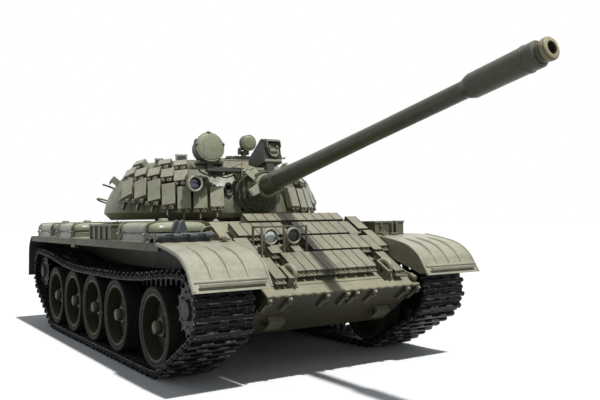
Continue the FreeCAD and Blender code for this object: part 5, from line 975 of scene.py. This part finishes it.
def roofBox(name, place, size, azimuth, hatch=True):
    # a periscope housing: a box with a sloping glass front, a lid and two bolts
    angle = math.radians(azimuth)
    front = np.array((math.sin(angle), -math.cos(angle), 0))
    side = np.array((math.cos(angle), math.sin(angle), 0))
    width, depth, tall = size
    outline = [(-depth / 2, 0), (depth / 2, 0), (depth / 2, tall * 0.35), (depth * 0.32, tall),
               (-depth / 2, tall)]
    shapes = [plate(outline, width, np.asarray(place) + side * width / 2, front, (0, 0, 1))]
    top = np.asarray(place) + (0, 0, tall)
    shapes.append(block(top - front * depth * 0.1 + (0, 0, 0.2), (width + 0.8, depth * 0.75, 0.7), side,
                        front))
    for way in (-1, 1):
        shapes.append(bolt(top + side * way * width * 0.36 - front * depth * 0.22 + (0, 0, 0.5), (0, 0, 1),
                           0.6, 0.6))
    addPiece(name, shapes, surfaces["fittingPale"], "turret", 0.2)
    middle = np.asarray(place) + front * (depth * 0.415 + 0.15) + (0, 0, tall * 0.67)
    lean = unit(front * 0.65 * tall + np.array((0, 0, 1.0)) * depth * 0.18)
    addPiece(name + "Glass", [block(middle, (width * 0.72, tall * 0.5, 0.5), side, np.cross(lean, side))],
             surfaces["darkGlass"], "turret", 0.1)


roofBox("rightPeriscope", (-40.5, 36.5, 140.4), (8.5, 6.5, 6.2), -18)
roofBox("loaderPeriscope", (-55.5, 44.5, 138.4), (6.0, 5.0, 5.2), -30)
roofBox("gunnerPeriscope", (36.5, 33.5, 139.2), (8.0, 6.0, 5.4), 14)

grabRail = {"radius": 0.75}
addPiece("turretHandles", [
    pipe(smoothPath([(-69.5, 92.0, 118.6), (-74.5, 94.6, 123.0), (-79.5, 95.4, 125.2),
                     (-83.6, 95.0, 126.3)], 16), grabRail["radius"]),
    pipe(smoothPath([(72.0, 92.0, 115.5), (80.5, 95.0, 118.5), (83.5, 108.0, 117.0), (77.0, 118.0, 113.0)],
                    20), grabRail["radius"]),
    pipe(smoothPath([(-72.0, 110.0, 113.0), (-81.0, 114.0, 115.5), (-77.0, 127.0, 114.5),
                     (-66.0, 130.0, 111.0)], 20), grabRail["radius"]),
    pipe(smoothPath([(-31.0, 141.0, 121.0), (-33.0, 149.0, 122.0), (31.0, 149.0, 122.0),
                     (29.0, 141.0, 121.0)], 30), grabRail["radius"]),
], surfaces["fitting"], "turret")

roof = {"centre": (0.0, 71.0), "half": (50.0, 54.0), "domeBehind": 2.29, "deepest": 0.548, "proud": 0.1}
angle = np.linspace(0, 2 * math.pi, 121)
rimPath = np.stack([
    roof["centre"][0] + roof["half"][0] * np.cos(angle),
    roof["centre"][1] + roof["half"][1] * np.sin(angle),
    dome["centre"][2] + dome["half"][2] * np.sqrt(np.clip(
        1 - (roof["half"][0] * np.cos(angle) / dome["half"][0]) ** 2
        - ((roof["half"][1] * np.sin(angle) - roof["domeBehind"]) / dome["half"][1]) ** 2,
        0.0, roof["deepest"])) + roof["proud"]], -1)
addPiece("roofSeam", [pipe(rimPath, 0.8, 8, (0, 0, 1))], surfaces["turret"], "turret")

print("turret fittings made")


headlights = {"places": ((-34.4, -83.712), (-17.3, -83.712)), "height": 85.5}
for index, (x, y) in enumerate(headlights["places"]):
    centre = (x, y, headlights["height"])
    addPiece(f"headlightRim{index + 1}", [turned([
        (1.4, 4.1), (2.6, 4.2), (3.0, 4.7), (2.6, 5.3), (1.6, 5.45), (0.2, 5.3), (0.2, 4.3)], centre,
                                                 (0, -1, 0), 44),
        block((x, y + 4.0, 78.6), (3.8, 4.6, 5.6)), bolt((x, y + 1.7, 79.0), (0, -1, 0), 0.8, 0.8)],
        surfaces["bright"], "hull", 0.1)
    addPiece(f"headlightGlass{index + 1}", [turned([
        (1.2, 4.25), (1.9, 3.6), (2.4, 2.4), (2.65, 1.1), (2.7, 0)], centre, (0, -1, 0), 40)],
        surfaces["headlightGlass" if index == 0 else "gap"], "hull")
print("headlights made")


tankForm = {"steps": ((-0.9, 0.0), (0.0, 0.4), (0.25, 1.6), (0.3, 4.2), (1.0, 4.8), (1.0, 5.3), (0.1, 5.7),
                      (0.2, 7.4),
                      (1.0, 9.4), (2.8, 10.7), (5.2, 11.3), (8.0, 11.5)), "power": 7.0, "around": 144}


def pressedTank(low, high):
    # rounded rectangles stacked inwards: each corner follows |x|^7 + |y|^7 = 1, with a seam lip
    # at mid height, and a top that rises to a low crown, crossed by pressed ribs
    middle, half = (low + high) / 2, (high - low) / 2
    angle = np.linspace(0, 2 * math.pi, tankForm["around"], endpoint=False)
    power = tankForm["power"]
    shape = (np.abs(np.cos(angle)) ** power + np.abs(np.sin(angle)) ** power) ** (-1 / power)
    ringX, ringY = shape * np.cos(angle), shape * np.sin(angle)
    rows = []
    for inset, tall in tankForm["steps"]:
        rows.append(np.stack([
            middle[0] + ringX * (half[0] - inset), middle[1] + ringY * (half[1] - inset),
            np.full_like(angle, low[2] + tall * (high[2] - low[2]) / 11.5)], -1))
    for share in (0.8, 0.6, 0.4, 0.2, 0.0):
        x, y = ringX * (half[0] - 8) * share, ringY * (half[1] - 8) * share
        ribs = 0.35 * np.cos(y * 0.62) * np.clip(1 - (x / (half[0] - 6)) ** 2, 0, 1) * (1 if share else 0)
        rows.append(np.stack([middle[0] + x, middle[1] + y,
                              np.full_like(angle, high[2] - 0.2) + ribs - 0.35], -1))
    return gridShape(np.stack(rows), wrapCols=True)


def tankStrap(low, high, along):
    # a flat band from the fender, up over the tank and down to the deck side
    x = np.array((low[0] - 0.5, low[0] - 0.4, low[0] + 1.2, low[0] + 6.0, high[0] - 6.0, high[0] - 1.2,
                  high[0] - 0.1))
    z = np.array((83.6, high[2] - 4.5, high[2] - 1.4, high[2] + 0.25, high[2] + 0.25, high[2] - 1.4, 83.6))
    return strap(smoothPath(np.column_stack([x, np.full(7, along), z]), 40), 3.2, 0.6, (0, 1, 0))


tankShapes, strapShapes, capShapes = [], [], []
for points, faces in islands("fuel_tanks"):
    used = points[np.unique(faces)]
    low, high = used.min(0), used.max(0)
    tankShapes.append(pressedTank(low, high))
    strapShapes += [tankStrap(low, high, along) for along in (low[1] + 9.5, high[1] - 11.0)]
    middle = (low + high) / 2
    filler = np.array((middle[0] - 5.5, low[1] + 17.0, high[2] - 0.2))
    capShapes.append(turned([(0, 3.6), (0.9, 3.7), (1.0, 3.2), (2.1, 3.0), (2.5, 2.4), (2.6, 0)], filler,
                            (0, 0, 1), 24))
    angle = np.linspace(0, 2 * math.pi, 33)
    loop = np.column_stack([middle[0] + 2 + 3.2 * np.cos(angle), middle[1] - 4 + 6.5 * np.sin(angle),
                            np.full(33, high[2] + 0.1)])
    capShapes.append(pipe(loop, 0.55, 8, (0, 0, 1)))
    for along in (low[1] + 9.5, high[1] - 11.0):
        capShapes.append(bolt((low[0] - 0.9, along, 88.0), (-1, 0, 0), 0.9, 1.2))
tanks = addPiece("pressedFuelTanks", tankShapes, surfaces["tank"], "hull", 0, 35)
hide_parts("fuel_tanks")
addPiece("tankStraps", strapShapes, surfaces["fitting"], "hull")
addPiece("tankCaps", capShapes, surfaces["fittingPale"], "hull")
print("fuel tanks made")


roadWheel = {"out": 14.8, "capRadius": 4.1, "hubBolts": 8, "boltRing": 5.9, "openings": 5, "inner": 7.6,
             "outer": 16.2,
             "halfWide": 2.5, "lip": 0.42, "rimRing": 20.6, "coneFace": 88.15, "coneEdge": 19.7,
             "coneFall": 0.205}


def wheelOpening(hub, way, middle):
    # a dark leaf-shaped patch between two ribs of the disc, painted shade that stands for an opening, ringed
    # by a raised lip: its half width goes as the sine of the way out to the power 0.7, and its face lies on
    # the disc's cone, which comes out by coneFall for each millimetre inwards
    share = np.linspace(0, 1, 15)
    out = roadWheel["inner"] + (roadWheel["outer"] - roadWheel["inner"]) * share
    half = roadWheel["halfWide"] * np.sin(math.pi * share) ** 0.7
    edge = np.concatenate([half, -half[-2:0:-1]])
    reach = np.concatenate([out, out[-2:0:-1]])
    radial = np.array((0, math.cos(middle), math.sin(middle)))
    tangent = np.array((0, -math.sin(middle), math.cos(middle)))
    cone = roadWheel["coneFace"] + (roadWheel["coneEdge"] - np.hypot(reach, edge)) * roadWheel["coneFall"]
    rim = hub * (0, 1, 1) + reach[:, None] * radial + edge[:, None] * tangent
    rim[:, 0] = way * cone
    closed = np.vstack([rim, rim[:1]])
    centre = rim.mean(0)
    face = np.stack([rim + (way * 0.12, 0, 0), centre + (rim - centre) * 0.5 + (way * 0.1, 0, 0),
                     np.repeat(centre[None] + (way * 0.08, 0, 0), len(rim), 0)])
    return gridShape(face, wrapCols=True), pipe(closed, roadWheel["lip"], 8, (1, 0, 0))


def wheelFittings(side, number):
    way = 1 if side == "left" else -1
    along = wheelCentre["along"][number - 1] * 1000
    hub = np.array((way * (trackCentre + roadWheel["out"]), along, wheelCentre["up"] * 1000))
    axis = np.array((way, 0.0, 0.0))
    shapes = [turned([(-1.6, roadWheel["capRadius"] + 0.4), (0.0, roadWheel["capRadius"]), (0.35, 3.9),
                      (0.8, 2.8),
                      (0.95, 1.2), (0.95, 0)], hub, axis, 28)]
    for turn in np.arange(roadWheel["hubBolts"]) * 2 * math.pi / roadWheel["hubBolts"] + 0.3:
        offset = np.array((0, math.cos(turn), math.sin(turn)))
        shapes.append(bolt(hub + offset * 3.1 - axis * 0.1, axis, 0.55, 0.9))
        shapes.append(bolt(hub + offset * roadWheel["boltRing"] - axis * 6.4, axis, 0.7, 1.9))
    openingShades = []
    for turn in np.arange(roadWheel["openings"]) * 2 * math.pi / roadWheel["openings"] + 0.5 + number * 0.4:
        openingShade, lip = wheelOpening(hub, way, turn)
        openingShades.append(openingShade)
        shapes.append(lip)
    body = f"road_wheel_{side}_{number}"
    # the dark patches are painted shade that stands for openings in the disc
    addPiece(f"wheelOpeningShade_{side}_{number}", openingShades, surfaces["gap"], body)
    angle = np.linspace(0, 2 * math.pi, 65)
    loop = np.column_stack([np.full(65, hub[0] + way * 0.5), hub[1] + roadWheel["rimRing"] * np.cos(angle),
                            hub[2] + roadWheel["rimRing"] * np.sin(angle)])
    shapes.append(pipe(loop, 0.4, 6, (1, 0, 0)))
    return addPiece(f"wheelFittings_{side}_{number}", shapes, surfaces["wheelMetal"], body)


for side in ("left", "right"):
    for number in range(1, 6):
        wheelFittings(side, number)
print("wheel fittings made")


cupolaLight = {"centre": np.array((22.0, 51.69 - 10.45, 161.6))}
addPiece("cupolaLightCover", [turned([
    (-1.2, 5.9), (-1.2, 6.7), (-0.1, 6.75), (0.2, 6.3), (0.1, 5.8), (0.5, 5.4), (0.9, 3.4), (1.1, 0)],
    cupolaLight["centre"] + (0, 0, -2.0), (0, -1, 0), 40)], surfaces["fittingPale"], "cupola_searchlight")

seams = []
for height in (57.0, 70.0, 84.0):
    along = glacis["nose"] + glacis["up"] * ((height - glacis["nose"][2]) / glacis["up"][2])
    x = np.linspace(-57.0, 57.0, 90)
    wobble = 0.12 * np.sin(x * 2.1) + 0.08 * np.sin(x * 5.3)
    path = np.column_stack([x, np.full(90, along[1]),
                            np.full(90, along[2])]) + glacis["out"] * 0.05 + wobble[:, None] * glacis["up"]
    seams.append(pipe(path, 0.45 + 0.06 * np.sin(x * 6.0), 8, (0, 0.2, 1)))
x = np.linspace(-57.4, 57.4, 160)
lip = np.column_stack([x, np.full(160, glacis["nose"][1] + 0.5), np.full(160, glacis["nose"][2] + 0.1)])
lip[:, 2] += 0.25 * np.sin(x * 0.9)
seams.append(pipe(lip, 0.85 + 0.22 * np.sin(x * 1.35) + 0.12 * np.sin(x * 2.9 + 1), 8, (0, 0.2, 1)))
addPiece("weldSeams", seams, surfaces["hull"], "hull")

def dropped(nodeName, xs, ys, lift=0.0):
    # points of a CAD surface straight below each (x, y)
    found = []
    for x, y in zip(xs, ys):
        hit, place, normal, face = cadNodes[nodeName].ray_cast(Vector((x, y, 200.0)) * 0.001,
                                                               Vector((0, 0, -1)))
        if hit:
            found.append(np.array(place) * 1000 + np.array(normal) * lift)
    return np.array(found)


def blockGapShade():
    # dark bars down both sides of every glacis block, a hair proud of its face: painted shade in the gaps
    # between the blocks
    shapes = []
    for points, faces in islands("glacis_armour_blocks"):
        local = points[np.unique(faces)] - glacis["nose"]
        across, up, out = local @ xDirection, local @ glacis["up"], local @ glacis["out"]
        if np.ptp(up) < 5 or np.ptp(across) > 16:
            continue
        top = out.max() - 0.02
        for edge in (across.min(), across.max()):
            centre = glacis["nose"] + xDirection * edge + glacis["up"] * (up.min() + np.ptp(up) / 2)
            shapes.append(block(centre + glacis["out"] * (top - 0.6), (0.5, np.ptp(up) + 0.12, 1.4),
                                xDirection, glacis["up"]))
    addPiece("glacisBlockGapShade", shapes, surfaces["gap"], "hull")


blockGapShade()

mudguards = {"ribs": (71.1, 82.25, 93.4), "centre": (-84.0, 55.0), "ribTurn": (104, 168), "radius": 1.5,
             "sink": -0.35}


def onGuard(side, across, degrees, lift):
    # points of the mudguard's outer face, met by rays that look in towards a line along its bend
    found = []
    for x, turn in zip(across, np.radians(degrees)):
        look = Vector((0, -math.cos(turn), -math.sin(turn)))
        start = Vector((x, mudguards["centre"][0], mudguards["centre"][1])) * 0.001 - look * 0.12
        hit, place, normal, face = cadNodes[f"front_mudguard_{side}"].ray_cast(start, look)
        if hit:
            found.append(np.array(place) * 1000 - np.array(look) * lift)
    return np.array(found)


for side, way in (("left", 1), ("right", -1)):
    guardNode = f"front_mudguard_{side}"
    ribShapes = []
    for across in mudguards["ribs"]:
        path = onGuard(side, np.full(30, way * (across + 1.9)), np.linspace(*mudguards["ribTurn"], 30),
                       mudguards["sink"])
        path[:, 0] -= way * 1.9
        width = mudguards["radius"] * np.sin(np.linspace(0.06, math.pi - 0.2, len(path))) ** 0.35
        ribShapes.append(pipe(path, width, 12, (1, 0, 0)))
    outer = np.linspace(-77.0, -127.6, 40)
    for across in (105.4, 58.6):
        path = dropped(guardNode, np.full(40, way * across), outer, -0.2)
        ribShapes.append(pipe(path, 0.8, 10, (1, 0, 0)))
    acrossLip = np.linspace(way * 60.0, way * 105.0, 20)
    ribShapes.append(pipe(onGuard(side, acrossLip, np.full(20, 168.0), -0.4), 1.1, 10, (0, 1, 0.2)))
    addPiece(f"mudguardRibs_{side}", ribShapes, surfaces["mudguard"], "hull")
    bits = [block((way * 63.0, -78.0, 84.6), (5.0, 7.0, 1.6)),
            bolt((way * 63.0, -76.2, 85.4), (0, 0, 1), 0.9, 0.9),
            bolt((way * 63.0, -80.0, 85.4), (0, 0, 1), 0.9, 0.9)]
    if side == "left":
        bits += [block((72.5, -76.0, 88.6), (1.6, 3.4, 9.0)), block((76.5, -76.0, 88.0), (1.4, 3.0, 7.6)),
                 pipe(smoothPath([(71.0, -76, 91.6), (74.5, -76.5, 93.4), (78.5, -76, 91.2)], 14), 0.6),
                 block((74.5, -76.0, 84.4), (8.0, 5.0, 1.2))]
    addPiece(f"mudguardBrackets_{side}", bits, surfaces["fitting"], "hull", 0.2)

cleat = {"radius": 0.8, "step": 1.1, "half": 17.7, "end": 18.0, "endRadius": 1.45}
axles = np.array(((-97.2, 46.0), (241.3, 49.5)))


def trackEdges():
    # on each link of the right track: a worn ridge that steps to and fro across its width, and a rounded
    # lug at both ends; a link's outward direction is square to the line between its two neighbours
    solids = [points[np.unique(faces)] for points, faces in islands("track_right")]
    centres = np.array([solid[:, 1:].mean(0) for solid in solids])
    span = axles[1] - axles[0]
    share = np.clip((centres - axles[0]) @ span / (span @ span), 0, 1)
    inside = axles[0] + share[:, None] * span
    across = np.array((-1, -0.66, -0.54, -0.24, -0.12, 0.12, 0.24, 0.54, 0.66, 1)) * cleat["half"]
    shift = np.array((0, 0, 1, 1, 0, 0, 1, 1, 0, 0)) * 2 - 1
    ridges, ends = [], []
    for index, solid in enumerate(solids):
        order = np.argsort(np.linalg.norm(centres - centres[index], axis=1))
        along = unit(centres[order[1]] - centres[order[2]])
        out = np.array((-along[1], along[0]))
        out = out * (1 if out @ (centres[index] - inside[index]) > 0 else -1)
        local = solid[:, 1:] - centres[index]
        height = local @ out
        top = height.max()
        bar = centres[index] + along * (local @ along)[height > top - 0.3].mean()
        flat = bar + out * (top - cleat["radius"] - 0.15) + along * (shift * cleat["step"])[:, None]
        ridges.append(pipe(np.column_stack([across - trackCentre, flat]), cleat["radius"], 6))
        down = np.array((0.6, 1.1, 2.7, 4.3, 4.8))
        lugPath = bar + out * (top - down)[:, None]
        for way in (-1, 1):
            size = cleat["endRadius"] * np.array((0.5, 0.85, 1.0, 0.85, 0.5))
            ends.append(pipe(np.column_stack([np.full(5, way * cleat["end"] - trackCentre), lugPath]), size,
                             8, (1, 0, 0)))
    for side, way in (("right", 1), ("left", -1)):
        sideRidges = [(points * (way, 1, 1), faces) for points, faces in ridges]
        sideEnds = [(points * (way, 1, 1), faces) for points, faces in ends]
        addPiece(f"trackCleats_{side}", sideRidges, surfaces["cleat"], "hull")
        addPiece(f"trackLugs_{side}", sideEnds, surfaces["track"], "hull")


def spareHorns():
    # a pointed guide horn on each spare link
    shapes = []
    for points, faces in islands("spare_links"):
        used = points[np.unique(faces)]
        top = used[:, 2].max()
        horn = used[used[:, 2] > top - 1.0].mean(0)
        outline = [(-3.6, -4.6), (3.6, -4.6), (2.6, -1.5), (1.2, 2.2), (0, 3.2), (-1.2, 2.2), (-2.6, -1.5)]
        shapes.append(plate(outline, 3.0, (horn[0], horn[1] + 1.5, top), (1, 0, 0), (0, 0, 1)))
    addPiece("spareLinkHorns", shapes, surfaces["spare"], "hull", 0.3)


trackEdges()
spareHorns()
print("track edges made")

gusset = {"inner": 58.8, "thick": 1.4}
for side, way in (("left", 1), ("right", -1)):
    outline = [(254.0, 83.0), (254.0, 60.0), (262.0, 58.0), (267.0, 70.0), (262.0, 82.0)]
    gussetShapes = [
        plate(outline, gusset["thick"], (way * gusset["inner"] - gusset["thick"] / 2, 0, 0), (0, 1, 0),
              (0, 0, 1)),
        block((way * 64.5, 264.5, 72.0), (12.0, 19.0, 1.4), (1, 0, 0), (0, 0.25, 1)),
    ]
    addPiece(f"rearGussets_{side}", gussetShapes, surfaces["hull"], "hull", 0.2)

hooks = {"places": (-36.0, 37.0), "along": 13.5}


def towHook(x):
    # a thick fin on the slope, bent over forwards to a rounded nose, with a sprung keeper in front
    base = glacis["nose"] + xDirection * x + glacis["up"] * hooks["along"]
    path = smoothPath([(8.0, 0.4), (7.0, 5.2), (3.0, 9.0), (-2.0, 9.2), (-4.6, 5.8), (-3.4, 2.4)], 26)
    points = base + path[:, :1] * glacis["up"] + path[:, 1:] * glacis["out"]
    size = np.interp(np.linspace(0, 1, 26), (0, 0.3, 0.75, 1), (2.3, 1.9, 1.4, 0.8))
    keeper = smoothPath([(-7.5, 0.6), (-7.0, 3.4), (-4.8, 5.2), (-3.0, 4.6)], 12)
    bar = base + keeper[:, :1] * glacis["up"] + keeper[:, 1:] * glacis["out"]
    shapes = [pipe(points, size, 12, (1, 0.1, 0)), pipe(bar, 0.6, 8, (1, 0.1, 0)),
              block(base + glacis["up"] * 2.0 + glacis["out"] * 0.6, (5.4, 17.0, 1.2), xDirection,
                    glacis["up"])]
    for way in (-1, 1):
        shapes.append(bolt(base + xDirection * way * 1.9 - glacis["up"] * 5.0 + glacis["out"] * 1.2,
                           glacis["out"], 0.7, 0.7))
    return shapes


addPiece("towHooks", towHook(hooks["places"][0]) + towHook(hooks["places"][1]), surfaces["fittingPale"],
         "hull")

ribBolts = []
for points, faces in islands("tow_fittings"):
    used = points[np.unique(faces)]
    low, high = used.min(0), used.max(0)
    if high[2] < 56 and np.ptp(used[:, 0]) < 8:
        middle = (low + high) / 2
        ribBolts.append(block((middle[0], low[1] + 0.4, high[2] - 1.2), (2.2, 1.2, 1.9)))
        ribBolts.append(bolt((middle[0], low[1] - 0.3, high[2] - 1.0), (0, -1, 0.15), 0.95, 1.1))
addPiece("lowerPlateBolts", ribBolts, surfaces["bright"], "hull", 0.1)

pinChain = [glacis["nose"] + xDirection * x + glacis["up"] * a + glacis["out"] * b for x, a, b in (
    (50.5, 22.0, 2.0), (53.0, 17.5, 2.6), (54.4, 13.0, 1.6), (55.2, 8.0, 2.4), (54.6, 4.0, 1.6))]
addPiece("pinFitting", [
    pipe(smoothPath(pinChain, 26), 0.75), bolt(pinChain[0], glacis["out"], 1.6, 1.2),
    turned([(0, 0), (0, 1.6), (4.4, 1.9), (5.2, 1.2), (5.2, 0)], pinChain[3], -glacis["up"], 14),
], surfaces["fitting"], "hull")

cluster = []
for x, y, z, size in ((-66.0, -66.0, 86.6, 3.2), (-71.5, -70.5, 85.8, 2.6), (-63.5, -60.0, 87.4, 3.0),
                      (-68.5, -61.5, 86.4, 2.6)):
    cluster.append(block((x, y, z), (size, size * 0.9, size * 1.5), (0.9, 0.4, 0), (-0.4, 0.9, 0.2)))
    cluster.append(bolt((x, y, z + size * 0.7), (0.1, -0.2, 1), 0.7, 1.0))
cluster += [
    turned([(0, 0), (0, 1.5), (5.5, 1.5), (6.4, 1.0), (6.4, 0)], (-70.0, -64.0, 90.2), (1, 0.25, 0.1), 14),
    pipe(smoothPath([(-74, -67, 86.0), (-71, -66, 91.0), (-66, -65, 92.2), (-62, -62, 90.0),
                     (-60, -60, 86.0)], 24), 0.6),
    pipe(smoothPath([(-76, -70, 84.6), (-72, -72, 88.6), (-67, -72, 88.0), (-63, -70, 84.6)], 20), 0.6),
]
addPiece("fenderBrackets", cluster, surfaces["fitting"], "hull", 0.15)

print("hull fittings made")


makeCamera()
makeLight()
makeFloor()
